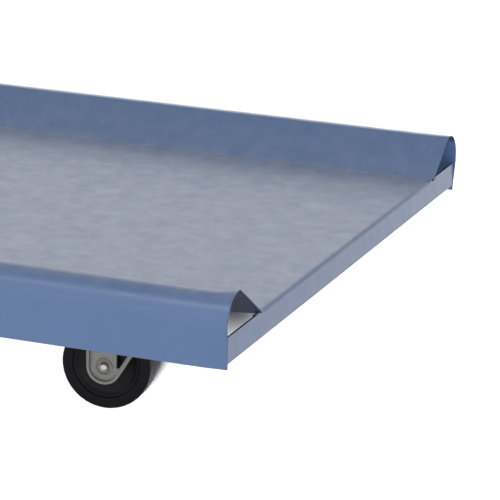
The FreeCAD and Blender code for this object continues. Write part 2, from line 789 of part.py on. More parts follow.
caster_bolt_length = 14.5
caster_bolt = hex_bolt(size("screw_radius"), caster_bolt_length, M8_FLATS, M8_HEAD)
m8_nut = hex_nut(size("screw_radius"), M8_FLATS, M8_NUT)
hardware("caster_bolts", caster_bolt, bolt_places)
hardware("caster_nuts", m8_nut, nut_places)

# ------------------------------------------------------------------- folding handle

pivot_x = deck_rear - pivot_back
pivot_z = deck_top + size("pivot_rise")
handle_place = Placement(
    Vector(pivot_x, 0, pivot_z), Rotation(Vector(0, 1, 0), -size("handle_lean"))
)

# Each lock pin crosses just behind a leg's tail, which swings backwards as the handle folds.
lock_aside = size("tube_radius") + size("lock_gap") + size("lock_radius")
lock_back = pivot_back - size("lock_drop") * math.sin(lean) + lock_aside * math.cos(lean)
lock_level = (
    size("pivot_rise") - size("lock_drop") * math.cos(lean) - lock_aside * math.sin(lean)
)


def handle_path(body):
    """Centre line of the U tube, from the right leg's foot over the top to the left one's."""
    sketch = new_sketch(body, "YZ_Plane", "handle_path")
    half = size("handle_half")
    bend = size("handle_bend")
    top = size("handle_reach")
    foot = -size("handle_tail")
    ends = (
        (-half, foot, "-Sizes.handle_half", "-Sizes.handle_tail"),
        (-half, top - bend, "-Sizes.handle_half", "Sizes.handle_reach-Sizes.handle_bend"),
        (-half + bend, top, "-Sizes.handle_half+Sizes.handle_bend", "Sizes.handle_reach"),
        (half - bend, top, "Sizes.handle_half-Sizes.handle_bend", "Sizes.handle_reach"),
        (half, top - bend, "Sizes.handle_half", "Sizes.handle_reach-Sizes.handle_bend"),
        (half, foot, "Sizes.handle_half", "-Sizes.handle_tail"),
    )
    points = [Vector(across, upward, 0) for across, upward, _, _ in ends]
    slack = bend * (1.0 - math.sqrt(0.5))
    middles = (
        Vector(-half + slack, top - slack, 0),
        Vector(half - slack, top - slack, 0),
    )
    pieces = (
        Part.LineSegment(points[0], points[1]),
        Part.Arc(points[1], middles[0], points[2]),
        Part.LineSegment(points[2], points[3]),
        Part.Arc(points[3], middles[1], points[4]),
        Part.LineSegment(points[4], points[5]),
    )
    for piece in pieces:
        sketch.addGeometry(piece)
    for line, first in ((0, 0), (2, 2), (4, 4)):
        pin_down(sketch, line, 1, ends[first][2], ends[first][3])
        pin_down(sketch, line, 2, ends[first + 1][2], ends[first + 1][3])
    # A clockwise arc is stored anticlockwise, so its ends are found by place.
    for arc in (1, 3):
        for line in (arc - 1, arc + 1):
            for arc_end in (1, 2):
                for line_end in (1, 2):
                    gap = sketch.getPoint(arc, arc_end).sub(sketch.getPoint(line, line_end))
                    if gap.Length < 1e-6:
                        sketch.addConstraint(
                            Sketcher.Constraint("Coincident", arc, arc_end, line, line_end)
                        )
        index = sketch.addConstraint(Sketcher.Constraint("Radius", arc, bend))
        sketch.setExpression(f"Constraints[{index}]", "Sizes.handle_bend")
    return sketch


def make_handle():
    body = doc.addObject("PartDesign::Body", "handle_tube")
    path = handle_path(body)
    wall = [
        ("0", "-Sizes.handle_half", "Sizes.tube_radius"),
        ("0", "-Sizes.handle_half", "Sizes.tube_radius-Sizes.tube_wall"),
    ]
    ring = circles(body, "XY_Plane", "tube_ring", wall, lift=-size("handle_tail"))
    doc.recompute()
    sweep = body.newObject("PartDesign::AdditivePipe", "handle_sweep")
    sweep.Profile = ring
    sweep.Spine = (path, [f"Edge{k}" for k in range(1, 6)])
    doc.recompute()
    # Cross holes through both legs, for the pivot bushings.
    pocket(body, circles(body, "XZ_Plane", "bushing_holes", [("0", "0", "Sizes.bushing_radius")]))
    return keep("handle_tube", body, handle_place)


make_handle()

grip_place = handle_place.multiply(Placement(Vector(0, 0, size("handle_reach")), Rotation()))
turned(
    "handle_grip",
    (
        ("Sizes.tube_radius", "-Sizes.grip_length/2"),
        ("Sizes.grip_radius-1", "-Sizes.grip_length/2"),
        ("Sizes.grip_radius", "-Sizes.grip_length/2+4"),
        ("Sizes.grip_radius", "Sizes.grip_length/2-4"),
        ("Sizes.grip_radius-1", "Sizes.grip_length/2"),
        ("Sizes.tube_radius", "Sizes.grip_length/2"),
    ),
    grip_place,
)


def leg_places(along_leg, turn=Rotation()):
    """The same spot on both handle legs."""
    return [
        handle_place.multiply(Placement(Vector(0, side * size("handle_half"), along_leg), turn))
        for _, side in SIDES
    ]


across_cart = Rotation(Vector(1, 0, 0), 90)
bushing_length = size("ear_gap") - 0.8
bushing_foot = Vector(0, 0, -bushing_length / 2.0)
pivot_hole = size("pivot_radius") + size("running_gap")
bushing = Part.makeCylinder(size("bushing_radius"), bushing_length, bushing_foot)
bushing = bushing.cut(Part.makeCylinder(pivot_hole, bushing_length, bushing_foot))
hardware("pivot_bushings", bushing, leg_places(0.0, across_cart))

bore = size("tube_radius") - size("tube_wall")
plug = Part.makeCylinder(bore, 8.0)
plug = plug.fuse(Part.makeCylinder(size("tube_radius"), cap_flange, Vector(0, 0, -cap_flange)))
hardware("leg_plugs", plug.removeSplitter(), leg_places(-size("handle_tail")))


def make_bracket(label, side):
    """Bracket on the rear flange: a base plate and two ears either side of the leg."""
    body = doc.addObject("PartDesign::Body", label)
    base = (
        ("-Sizes.bracket_wide/2", "-Sizes.bracket_drop"),
        ("Sizes.bracket_wide/2", "-Sizes.bracket_drop"),
        ("Sizes.bracket_wide/2", "-1"),
        ("-Sizes.bracket_wide/2", "-1"),
    )
    lift = -size("ear_sheet")
    pad(body, outline(body, "YZ_Plane", f"{label}_base", base, lift), "Sizes.ear_sheet")
    back = f"{pivot_back}"
    edge = f"-{lock_back}-Sizes.ear_margin"
    ear = (
        ("-Sizes.ear_sheet+0.5", "-Sizes.bracket_drop"),
        ("-Sizes.ear_sheet+0.5", "-1"),
        (f"-{back}+Sizes.ear_round", "Sizes.pivot_rise"),
        (f"-{back}-Sizes.ear_round", "Sizes.pivot_rise"),
        (edge, f"{lock_level}+8"),
        (edge, f"{lock_level}-10"),
        (f"-{back}-4", "-Sizes.bracket_drop"),
    )
    for hand in (-1, 1):
        lift = size("ear_gap") / 2.0 if hand < 0 else -size("ear_gap") / 2.0 - size("ear_sheet")
        tag = f"{label}_{'outer' if hand < 0 else 'inner'}"
        pad(body, outline(body, "XZ_Plane", f"{tag}_ear", ear, lift), "Sizes.ear_sheet")
        top = [(f"-{back}", "Sizes.pivot_rise", "Sizes.ear_round")]
        pad(body, circles(body, "XZ_Plane", f"{tag}_ear_top", top, lift), "Sizes.ear_sheet")
    pivot = [(f"-{back}", "Sizes.pivot_rise", "Sizes.pivot_radius+Sizes.running_gap")]
    pocket(body, circles(body, "XZ_Plane", f"{label}_pivot_holes", pivot))
    lock = [(f"-{lock_back}", f"{lock_level}", "Sizes.lock_radius+Sizes.running_gap")]
    pocket(body, circles(body, "XZ_Plane", f"{label}_lock_holes", lock))
    bolts = [
        (f"{hand}*Sizes.bracket_bolt_side", "-Sizes.bracket_bolt_drop", "Sizes.screw_hole")
        for hand in (-1, 1)
    ]
    pocket(body, circles(body, "YZ_Plane", f"{label}_bolt_holes", bolts))
    place = Placement(Vector(deck_rear, side * size("handle_half"), deck_top), Rotation())
    return keep(label, body, place)


for side_name, side in SIDES:
    make_bracket(f"handle_bracket_{side_name}", side)

ear_outside = size("ear_gap") / 2.0 + size("ear_sheet")
outward = {-1.0: Rotation(Vector(1, 0, 0), 90), 1.0: Rotation(Vector(1, 0, 0), -90)}


def beside_leg(back, level, side, gap):
    """A spot outside the bracket ear (gap > 0) or inside it, in the row frame."""
    reach = side * (size("handle_half") + gap)
    return Vector(deck_rear - back, reach, deck_top + level)


pivot_bolts = []
pivot_nuts = []
sleeve_places = []
for _, side in SIDES:
    head = beside_leg(pivot_back, size("pivot_rise"), side, ear_outside)
    nut = beside_leg(pivot_back, size("pivot_rise"), side, -ear_outside)
    sleeve = beside_leg(lock_back, lock_level, side, ear_outside)
    pivot_bolts.append(Placement(head, outward[side]))
    pivot_nuts.append(Placement(nut, outward[-side]))
    sleeve_places.append(Placement(sleeve, outward[side]))
pivot_bolt_length = 2.0 * ear_outside + 12.0
pivot_bolt = hex_bolt(size("pivot_radius"), pivot_bolt_length, M12_FLATS, M12_HEAD)
hardware("pivot_bolts", pivot_bolt, pivot_bolts)
hardware("pivot_nuts", hex_nut(size("pivot_radius"), M12_FLATS, M12_NUT), pivot_nuts)

sleeve_length = size("lock_sleeve_length")
lock_bore = size("lock_radius") + size("running_gap")
sleeve = Part.makeCylinder(size("lock_sleeve_radius"), sleeve_length)
sleeve = sleeve.cut(Part.makeCylinder(lock_bore, sleeve_length))
hardware("lock_sleeves", sleeve, sleeve_places)

# Lock pins: at rest each is drawn out until its tip is inside the outer ear.
tip_inset = 0.5
knob_gap = 2.0
for side_name, side in SIDES:
    tip = beside_leg(lock_back, lock_level, side, size("ear_gap") / 2.0 + tip_inset)
    shaft = size("ear_sheet") - tip_inset + sleeve_length + size("lock_travel") + knob_gap
    profile = (
        ("0", "0"),
        ("Sizes.lock_radius-1", "0"),
        ("Sizes.lock_radius", "1.5"),
        ("Sizes.lock_radius", f"{shaft}"),
        ("7.5", f"{shaft}"),
        ("10", f"{shaft + 4}"),
        ("10", f"{shaft + 13}"),
        ("8", f"{shaft + 16}"),
        ("0", f"{shaft + 17}"),
    )
    turn = Rotation() if side > 0 else Rotation(Vector(0, 0, 1), 180)
    turned(f"lock_pin_{side_name}", profile, Placement(tip, turn))

bracket_bolts = []
bracket_nuts = []
for _, side in SIDES:
    for hand in (-1, 1):
        y = side * size("handle_half") + hand * size("bracket_bolt_side")
        z = deck_top - size("bracket_bolt_drop")
        rear_face = deck_rear - size("ear_sheet")
        bracket_bolts.append(Placement(Vector(rear_face, y, z), Rotation(Vector(0, 1, 0), -90)))
        inside = deck_rear + size("sheet")
        bracket_nuts.append(Placement(Vector(inside, y, z), Rotation(Vector(0, 1, 0), 90)))
bracket_bolt_length = 16.0
bracket_bolt = hex_bolt(size("screw_radius"), bracket_bolt_length, M8_FLATS, M8_HEAD)
hardware("bracket_bolts", bracket_bolt, bracket_bolts)
hardware("bracket_nuts", m8_nut, bracket_nuts)

# -------------------------------------------------------------------- checks and export

doc.recompute()
for item in doc.Objects:
    if "Invalid" in item.State or "Error" in item.State:
        raise RuntimeError(f"{item.Label} is {item.State}")
for label, feature in NODES.items():
    if feature.Shape.isNull() or not feature.Shape.isValid():
        raise RuntimeError(f"{label} has no valid shape")

os.makedirs("parts", exist_ok=True)
for label, feature in NODES.items():
    feature.Shape.exportStep(f"parts/{label}.step")
print(f"{len(NODES)} nodes, deck top {deck_top:.1f}, deck from {deck_rear:.1f} to {deck_front:.1f}")
print(f"front swivel x {front_axis:.3f}, rear axle x {rear_axis:.3f}, side {caster_side:.3f}")
print(f"handle pivot x {pivot_x:.3f} z {pivot_z:.3f}")
print(f"lock pin x {deck_rear - lock_back:.3f} z {deck_top + lock_level:.3f}")
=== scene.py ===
import json
import math

import bmesh
import bpy
from mathutils import Matrix, Vector, noise


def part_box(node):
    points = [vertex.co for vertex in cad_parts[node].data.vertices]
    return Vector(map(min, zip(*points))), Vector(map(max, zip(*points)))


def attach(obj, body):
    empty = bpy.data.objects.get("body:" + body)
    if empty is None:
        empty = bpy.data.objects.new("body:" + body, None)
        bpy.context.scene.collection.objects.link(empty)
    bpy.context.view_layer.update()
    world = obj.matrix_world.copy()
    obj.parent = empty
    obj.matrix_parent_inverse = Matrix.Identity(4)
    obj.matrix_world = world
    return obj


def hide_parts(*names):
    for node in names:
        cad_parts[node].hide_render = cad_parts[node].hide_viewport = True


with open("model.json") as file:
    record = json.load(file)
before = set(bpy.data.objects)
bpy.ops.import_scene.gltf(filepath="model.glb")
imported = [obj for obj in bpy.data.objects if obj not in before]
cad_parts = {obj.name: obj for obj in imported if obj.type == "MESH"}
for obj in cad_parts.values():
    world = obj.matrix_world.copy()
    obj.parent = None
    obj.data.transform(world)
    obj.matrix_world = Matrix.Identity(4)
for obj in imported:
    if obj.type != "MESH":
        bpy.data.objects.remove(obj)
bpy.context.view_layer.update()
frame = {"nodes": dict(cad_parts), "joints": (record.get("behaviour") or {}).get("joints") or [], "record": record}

# Folding platform cart, in metres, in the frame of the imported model: +X to the nose, +Y left,
# +Z up, floor at z = 0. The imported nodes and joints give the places; each section below
# builds the visible form of one group of nodes.

record = frame["record"]
joints = {joint["name"]: joint for joint in frame["joints"]}
MM = 0.001

# ------------------------------------------------------------------ driving dimensions

pan_lo, pan_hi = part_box("deck_pan")
DECK_Z = record["mounts"][0]["pos_m"][2]
DECK_REAR, DECK_NOSE = pan_lo.x, pan_hi.x
HALF_WIDTH = (pan_hi.y - pan_lo.y) / 2
SHEET = 2.5 * MM
SKIRT_DROP = DECK_Z - pan_lo.z
SKIRT_TUCK = 2.3 * MM
LIP_RISE = pan_hi.z - DECK_Z + 1.2 * MM
LIP_RADIUS = 28 * MM
LIP_CREST = 33 * MM
LIP_RUN = 90.5 * MM
CREST_BEND = 4 * MM
FOOT_BEND = 4 * MM
FLANGE_DROP = 30 * MM
FLANGE_BEND = 4.5 * MM
BEND_RELIEF = 0.1 * MM
CORNER_GAP = 0.8 * MM
TAB_SETBACK = 6 * MM

FORK_GAP = 38 * MM
FORK_SHEET = 3 * MM
LEG_RADIUS = 20 * MM
LEG_SLANT = math.radians(58.5)
LEG_RIM = 3.6 * MM
RIM_PROUD = 1.8 * MM
WINDOW_LEAD = 14.8 * MM
WINDOW_RISE = 30 * MM
WINDOW_RIM = 5 * MM
RIGID_SLANT = math.radians(76)
AXLE_SEAT = 8 * MM
PLATE_SHEET = 3 * MM

TUBE_RADIUS = 13.5 * MM
TUBE_WALL = 2 * MM
HANDLE_HALF = 255 * MM
HANDLE_REACH = 850 * MM
HANDLE_BEND = 95 * MM
HANDLE_TAIL = 55 * MM
HANDLE_LEAN = math.radians(7)

# --------------------------------------------------------------------------- materials


class Nodes:
    """Short calls for building one material's node tree."""

    def __init__(self, name):
        self.material = bpy.data.materials.new(name)
        self.material.use_nodes = True
        self.tree = self.material.node_tree
        self.shader = self.tree.nodes["Principled BSDF"]
        self.coords = self.tree.nodes.new("ShaderNodeTexCoord")

    def add(self, kind, **values):
        node = self.tree.nodes.new(kind)
        for key, value in values.items():
            if key in node.inputs.keys():
                node.inputs[key].default_value = value
            else:
                setattr(node, key, value)
        return node

    def link(self, source, target):
        self.tree.links.new(source, target)

    def noise(self, scale, detail=4.0, roughness=0.55, stretch=None):
        """Noise over the piece's own coordinates; scale is in cycles per metre."""
        texture = self.add("ShaderNodeTexNoise", Scale=scale, Detail=detail, Roughness=roughness)
        source = self.coords.outputs["Object"]
        if stretch:
            mapping = self.add("ShaderNodeMapping")
            mapping.inputs["Scale"].default_value = stretch
            self.link(source, mapping.inputs["Vector"])
            source = mapping.outputs["Vector"]
        self.link(source, texture.inputs["Vector"])
        return texture.outputs["Fac"]

    def ramp(self, source, low, high, to_low=0.0, to_high=1.0):
        """Maps low..high of a value to a new range, clamped."""
        node = self.add("ShaderNodeMapRange")
        for key, value in zip(("From Min", "From Max", "To Min", "To Max"), (low, high, to_low, to_high)):
            node.inputs[key].default_value = value
        self.link(source, node.inputs["Value"])
        return node.outputs["Result"]

    def math(self, operation, first, second):
        node = self.add("ShaderNodeMath", operation=operation)
        for socket, value in zip(node.inputs, (first, second)):
            if isinstance(value, (int, float)):
                socket.default_value = value
            else:
                self.link(value, socket)
        return node.outputs["Value"]

    def mix(self, factor, first, second):
        """Mixes two colours, given as tuples or sockets."""
        node = self.add("ShaderNodeMix", data_type="RGBA")
        colors = [socket for socket in node.inputs if socket.type == "RGBA"]
        self.link(factor, node.inputs["Factor"])
        for socket, value in zip(colors, (first, second)):
            if isinstance(value, tuple):
                socket.default_value = (*value, 1.0)
            else:
                self.link(value, socket)
        return next(socket for socket in node.outputs if socket.type == "RGBA")

    def bump(self, height, distance, strength=1.0, below=None):
        node = self.add("ShaderNodeBump", Strength=strength, Distance=distance)
        self.link(height, node.inputs["Height"])
        if below:
            self.link(below, node.inputs["Normal"])
        return node.outputs["Normal"]

    def part_of(self, output, axis):
        split = self.add("ShaderNodeSeparateXYZ")
        self.link(self.coords.outputs[output], split.inputs["Vector"])
        return split.outputs[axis]

    def finish(self, color, roughness, normal, **values):
        self.link(color, self.shader.inputs["Base Color"])
        self.link(roughness, self.shader.inputs["Roughness"])
        self.link(normal, self.shader.inputs["Normal"])
        for key, value in values.items():
            self.shader.inputs[key.replace("_", " ")].default_value = value
        return self.material


def tint(color, factor):
    return tuple(value * factor for value in color)


BLUE = (0.0375, 0.0685, 0.147)
# Pale grey laid on faces that look up: partly dust, partly a painted sheen of the light those faces reflect.
DUST_AND_SHEEN = (0.30, 0.31, 0.31)


def powder_coat(name, dust_and_sheen=False):
    """Semi-gloss blue powder coat with fine orange peel, and on level faces a pale grey that is partly dust and
    partly a painted sheen.
    """
    nodes = Nodes(name)
    color = nodes.mix(nodes.ramp(nodes.noise(9.0, 3.0), 0.3, 0.7), tint(BLUE, 0.96), tint(BLUE, 1.04))
    fleck = nodes.ramp(nodes.noise(320.0, 2.0), 0.35, 0.7, 0.0, 0.35)
    color = nodes.mix(fleck, color, tint(BLUE, 1.12))
    roughness = nodes.ramp(nodes.noise(60.0, 5.0), 0.3, 0.7, 0.30, 0.38)
    if dust_and_sheen:
        speck = nodes.ramp(nodes.noise(45.0, 7.0, 0.7), 0.35, 0.75, 0.4, 1.0)
        # Mask of faces that look up, with less of it up the lips: where the dust and painted sheen go.
        level = nodes.ramp(nodes.part_of("Normal", "Z"), 0.7, 1.0, 0.0, 0.38)
        low_down = nodes.ramp(nodes.part_of("Object", "Z"), DECK_Z + 2 * MM, DECK_Z + 30 * MM, 1.0, 0.65)
        level = nodes.math("MULTIPLY", level, low_down)
        color = nodes.mix(nodes.math("MULTIPLY", level, speck), color, DUST_AND_SHEEN)
        scuff = nodes.ramp(nodes.noise(14.0, 6.0, 0.75, (1.0, 9.0, 1.0)), 0.58, 0.72, 0.0, 0.05)
        roughness = nodes.math("ADD", roughness, scuff)
    peel = nodes.bump(nodes.noise(420.0, 2.0, 0.4), 0.0002, 0.16)
    sag = nodes.bump(nodes.noise(70.0, 2.0, 0.5), 0.0006, 0.10, below=peel)
    return nodes.finish(color, roughness, sag, Specular_IOR_Level=0.35)


def inside_coat_painted_light_and_shade(name):
    """Dull paint inside the sheet, in a lit and a shaded copy: paler than the outer coat behind the skirts, a
    painted light, and near black under the deck, a painted shade.
    """
    nodes = Nodes(name)
    patch = nodes.ramp(nodes.noise(24.0, 5.0, 0.65), 0.35, 0.7)
    # Painted light: the inside of the skirts is paler than the blue outside.
    painted_light_behind_skirts = nodes.mix(patch, tint(BLUE, 1.35), tint(BLUE, 1.6))
    # Painted shade: near black inside the lips and under the deck.
    painted_shade_under_deck = nodes.mix(patch, (0.014, 0.018, 0.036), (0.020, 0.026, 0.050))
    from_middle = nodes.math("ABSOLUTE", nodes.part_of("Object", "Y"), 0.0)
    # The painted light near the skirts gives way to the painted shade further in.
    color = nodes.mix(nodes.ramp(from_middle, HALF_WIDTH - 14 * MM, HALF_WIDTH - 6 * MM), painted_shade_under_deck, painted_light_behind_skirts)
    roughness = nodes.ramp(nodes.noise(80.0, 4.0), 0.3, 0.7, 0.55, 0.7)
    grain = nodes.bump(nodes.noise(500.0, 3.0), 0.0002, 0.3)
    return nodes.finish(color, roughness, grain, Specular_IOR_Level=0.04)


def zinc(name, tone, rough, grain=260.0, metal=0.85):
    """Dull zinc plate: faintly mottled metal with a fine pressed texture."""
    nodes = Nodes(name)
    mottle = nodes.ramp(nodes.noise(grain, 4.0, 0.6), 0.3, 0.7)
    color = nodes.mix(mottle, tint(tone, 0.82), tone)
    stain = nodes.ramp(nodes.noise(40.0, 5.0, 0.65), 0.5, 0.75, 0.0, 0.3)
    color = nodes.mix(stain, color, (tone[0] * 0.75, tone[1] * 0.70, tone[2] * 0.58))
    roughness = nodes.ramp(nodes.noise(150.0, 4.0), 0.3, 0.7, rough - 0.07, rough + 0.08)
    normal = nodes.bump(nodes.noise(900.0, 2.0), 0.0001, 0.25)
    return nodes.finish(color, roughness, normal, Metallic=metal)


def black(name, tone, rough, grain, depth, gloss):
    """Black rubber or plastic with a moulded grain and a trace of dust."""
    nodes = Nodes(name)
    dust = nodes.ramp(nodes.noise(38.0, 6.0, 0.7), 0.45, 0.8, 0.0, 0.5)
    color = nodes.mix(dust, tone, tuple(value * 1.8 + 0.0015 for value in tone))
    roughness = nodes.ramp(nodes.noise(90.0, 4.0), 0.3, 0.7, rough - 0.06, rough + 0.08)
    normal = nodes.bump(nodes.noise(grain, 3.0), depth, 0.4)
    return nodes.finish(color, roughness, normal, Specular_IOR_Level=gloss)


def pale_plastic(name):
    """Natural acetal, slightly greasy."""
    nodes = Nodes(name)
    color = nodes.mix(nodes.ramp(nodes.noise(120.0), 0.3, 0.7), (0.52, 0.50, 0.44), (0.60, 0.58, 0.53))
    roughness = nodes.ramp(nodes.noise(300.0), 0.3, 0.7, 0.35, 0.48)
    return nodes.finish(color, roughness, nodes.bump(nodes.noise(800.0), 0.0001, 0.2))


# The deck's coat carries the dust and painted sheen on its level faces.
PAINT = powder_coat("blue_powder_coat_deck", dust_and_sheen=True)
PAINT_PLAIN = powder_coat("blue_powder_coat_steel")
PAINT_INSIDE_LIT_AND_SHADED = inside_coat_painted_light_and_shade("blue_coat_inside_painted_light_and_shade")
ZINC = zinc("zinc_pressing", (0.130, 0.130, 0.125), 0.54, metal=0.5)
BRIGHT_ZINC = zinc("zinc_fastener", (0.34, 0.34, 0.33), 0.34, 500.0)
STEEL_BALL = zinc("bearing_steel", (0.60, 0.60, 0.60), 0.18, 900.0)
TYRE = black("tyre_rubber", (0.0022, 0.0022, 0.0028), 0.42, 700.0, 0.00008, 0.06)
CORE = black("wheel_core_plastic", (0.0036, 0.0036, 0.0046), 0.36, 1100.0, 0.00005, 0.07)
GRIP = black("grip_vinyl", (0.010, 0.010, 0.011), 0.48, 1400.0, 0.0001, 0.3)
PLASTIC = black("black_plastic", (0.012, 0.012, 0.013), 0.42, 1300.0, 0.00006, 0.3)
ACETAL = pale_plastic("natural_acetal")

# Each of the record's material slots and the material that shows it.
SLOTS = {
    "zinc_fastener": BRIGHT_ZINC,
    "zinc_pressing": ZINC,
    "bearing_steel": STEEL_BALL,
    "bearing_plastic": ACETAL,
    "black_plastic": PLASTIC,
    "blue_powder_coat": PAINT_PLAIN,
    "blue_tube_coat": PAINT_PLAIN,
    "grip_rubber": GRIP,
    "tyre_rubber": TYRE,
    "wheel_core": CORE,
}

# ------------------------------------------------------------------------ mesh helpers


def as_mesh(made, name="part"):
    """A mesh from a bmesh, which is freed."""
    data = bpy.data.meshes.new(name)
    made.to_mesh(data)
    made.free()
    return data


def piece(name, mesh, body, slot, replaced=(), place=None, sharp=35.0, material=None):
    """Makes a mesh into a shown piece: placed, smooth-shaded, riding on its body."""
    if isinstance(mesh, bmesh.types.BMesh):
        bmesh.ops.remove_doubles(mesh, verts=mesh.verts, dist=0.002 * MM)
        bmesh.ops.recalc_face_normals(mesh, faces=mesh.faces)
        mesh = as_mesh(mesh, name)
    if place is not None:
        mesh.transform(place)
    for polygon in mesh.polygons:
        polygon.use_smooth = True
        polygon.material_index = 0
    mesh.set_sharp_from_angle(angle=math.radians(sharp))
    shown = bpy.data.objects.new(name, mesh)
    bpy.context.scene.collection.objects.link(shown)
    mesh.materials.clear()
    mesh.materials.append(material or SLOTS[slot])
    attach(shown, body)
    if replaced:
        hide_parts(*replaced)
    return shown


def soften(shown, width, segments=2, angle=40.0):
    """Rounds the cut edges of a piece."""
    bevel = shown.modifiers.new("edge", "BEVEL")
    bevel.width = width
    bevel.segments = segments
    bevel.limit_method = "ANGLE"
    bevel.angle_limit = math.radians(angle)
    bevel.harden_normals = True
    return shown


def thicken(shown, thick, offset):
    """Gives a bent surface its sheet thickness."""
    solid = shown.modifiers.new("thickness", "SOLIDIFY")
    solid.thickness = thick
    solid.offset = offset
    solid.use_even_offset = True
    return solid


def arc_points(centre, radius, start, end, count):
    """Points of an arc in the plane; angles in degrees."""
    points = []
    for k in range(count + 1):
        angle = math.radians(start + (end - start) * k / count)
        points.append((centre[0] + radius * math.cos(angle), centre[1] + radius * math.sin(angle)))
    return points


def rounded(corners, count=6, closed=True):
    """Polyline whose corners (across, up, radius) are rounded."""
    points = []
    total = len(corners)
    for k, (x, y, radius) in enumerate(corners):
        here = Vector((x, y))
        if radius <= 0 or (not closed and k in (0, total - 1)):
            points.append((x, y))
            continue
        before = (Vector(corners[k - 1][:2]) - here).normalized()
        after = (Vector(corners[(k + 1) % total][:2]) - here).normalized()
        half = before.angle(after) / 2
        centre = here + (before + after).normalized() * (radius / math.sin(half))
        first = here + before * (radius / math.tan(half)) - centre
        last = here + after * (radius / math.tan(half)) - centre
        turn = first.angle_signed(last)
        for step in range(count + 1):
            spoke = first.copy()
            spoke.rotate(Matrix.Rotation(-turn * step / count, 2))
            points.append(tuple(centre + spoke))
    return points


def circle_points(x, y, radius, count=40):
    return arc_points((x, y), radius, 0, 360 - 360 / count, count - 1)


def plate_mesh(outlines, thickness, edge, lift=0.0):
    """Flat plate in its own XY plane, holes included, with rounded edges."""
    curve = bpy.data.curves.new("plate", "CURVE")
    curve.dimensions = "2D"
    curve.fill_mode = "BOTH"
    curve.extrude = thickness / 2 - edge
    curve.bevel_depth = edge
    curve.bevel_resolution = 1
    curve.offset = -edge
    for outline in outlines:
        spline = curve.splines.new("POLY")
        spline.points.add(len(outline) - 1)
        for point, (x, y) in zip(spline.points, outline):
            point.co = (x, y, 0, 1)
        spline.use_cyclic_u = True
    holder = bpy.data.objects.new("plate", curve)
    mesh = bpy.data.meshes.new_from_object(holder)
    bpy.data.objects.remove(holder)
    bpy.data.curves.remove(curve)
    mesh.transform(Matrix.Translation((0, 0, lift)))
    return mesh


def joined(meshes):
    """One bmesh holding several meshes."""
    whole = bmesh.new()
    for mesh in meshes:
        if isinstance(mesh, bmesh.types.BMesh):
            mesh = as_mesh(mesh)
        whole.from_mesh(mesh)
        bpy.data.meshes.remove(mesh)
    return whole


def moved(mesh, matrix):
    """The same bmesh after a move."""
    bmesh.ops.transform(mesh, matrix=matrix, verts=mesh.verts)
    return mesh


def skin(made, rings, closed_round=True, capped=False):
    """Faces between following rings of vertices."""
    for first, second in zip(rings, rings[1:]):
        count = len(first)
        for j in range(count if closed_round else count - 1):
            nxt = (j + 1) % count
            made.faces.new((first[j], first[nxt], second[nxt], second[j]))
    if capped:
        made.faces.new(rings[0][::-1])
        made.faces.new(rings[-1])


def lathe(profile, count=96, ripple=None):
    """Solid of revolution about Y of a closed (radius, along Y) profile."""
    made = bmesh.new()
    rings = []
    for k in range(count):
        angle = 2 * math.pi * k / count
        ring = []
        for radius, along in profile:
            reach = ripple(radius, along, k) if ripple else radius
            ring.append(made.verts.new((reach * math.cos(angle), along, reach * math.sin(angle))))
        rings.append(ring)
    for k in range(count):
        ring, following = rings[k], rings[(k + 1) % count]
        for j in range(len(profile)):
            nxt = (j + 1) % len(profile)
            if profile[j][0] == 0 and profile[nxt][0] == 0:
                continue
            made.faces.new((ring[j], ring[nxt], following[nxt], following[j]))
    bmesh.ops.remove_doubles(made, verts=made.verts, dist=0.002 * MM)
    return made


def mm_profile(points):
    """Points given in millimetres."""
    return [(radius * MM, along * MM) for radius, along in points]


def turned(points, count=96):
    """Solid of revolution about Y, from points in millimetres."""
    return lathe(mm_profile(points), count)


def mirrored(half):
    """Whole (radius, along Y) profile from the half that starts and ends at y = 0."""
    return list(half) + [(radius, -along) for radius, along in half[::-1][1:-1]]


def hexagon(flats, thickness, base=0.0):
    """Hexagonal head about Y, from y = base to base + thickness, corners eased."""
    corner = flats / math.sqrt(3)
    made = bmesh.new()
    levels = ((0.90, 0.0), (1.0, 0.35 * MM), (1.0, thickness - 1.1 * MM), (0.90, thickness))
    rings = []
    for scale, along in levels:
        ring = []
        for k in range(36):
            angle = 2 * math.pi * k / 36
            sector = (angle + math.pi / 6) % (math.pi / 3) - math.pi / 6
            reach = corner * math.cos(math.pi / 6) / math.cos(sector)
            if scale < 1.0:
                reach = min(reach, flats / 2 * 0.97)
            ring.append(made.verts.new((reach * math.cos(angle), base + along, reach * math.sin(angle))))
        rings.append(ring)
    skin(made, rings, capped=True)
    return made


def threaded(radius, start, end, pitch):
    """Threaded length of a bolt about Y, as even ridges, with a tapered tip."""
    profile = [(0, start)]
    along = start
    step = pitch if end > start else -pitch
    while abs(end - along) > pitch:
        profile.append((radius - 0.3 * MM, along))
        profile.append((radius, along + step / 2))
        along += step
    profile += [(radius - 0.9 * MM, end), (0, end)]
    return lathe(profile, 32)


def bead(start, end, radius):
    """Weld bead between two points: a rippled, slightly uneven round."""
    made = bmesh.new()
    ahead = (end - start).normalized()
    side = ahead.orthogonal().normalized()
    lift = side.cross(ahead)
    count = max(3, int((end - start).length / (2.0 * MM)))
    rings = []
    for k in range(count + 1):
        point = start.lerp(end, k / count)
        swell = 1.0 + 0.10 * math.sin(k * 1.9) + 0.14 * noise.noise(point * 260)
        if k in (0, count):
            swell *= 0.35
        ring = []
        for j in range(8):
            angle = 2 * math.pi * j / 8
            spoke = side * math.cos(angle) + lift * math.sin(angle)
            ring.append(made.verts.new(point + spoke * radius * swell))
        rings.append(ring)
    skin(made, rings, capped=True)
    return made


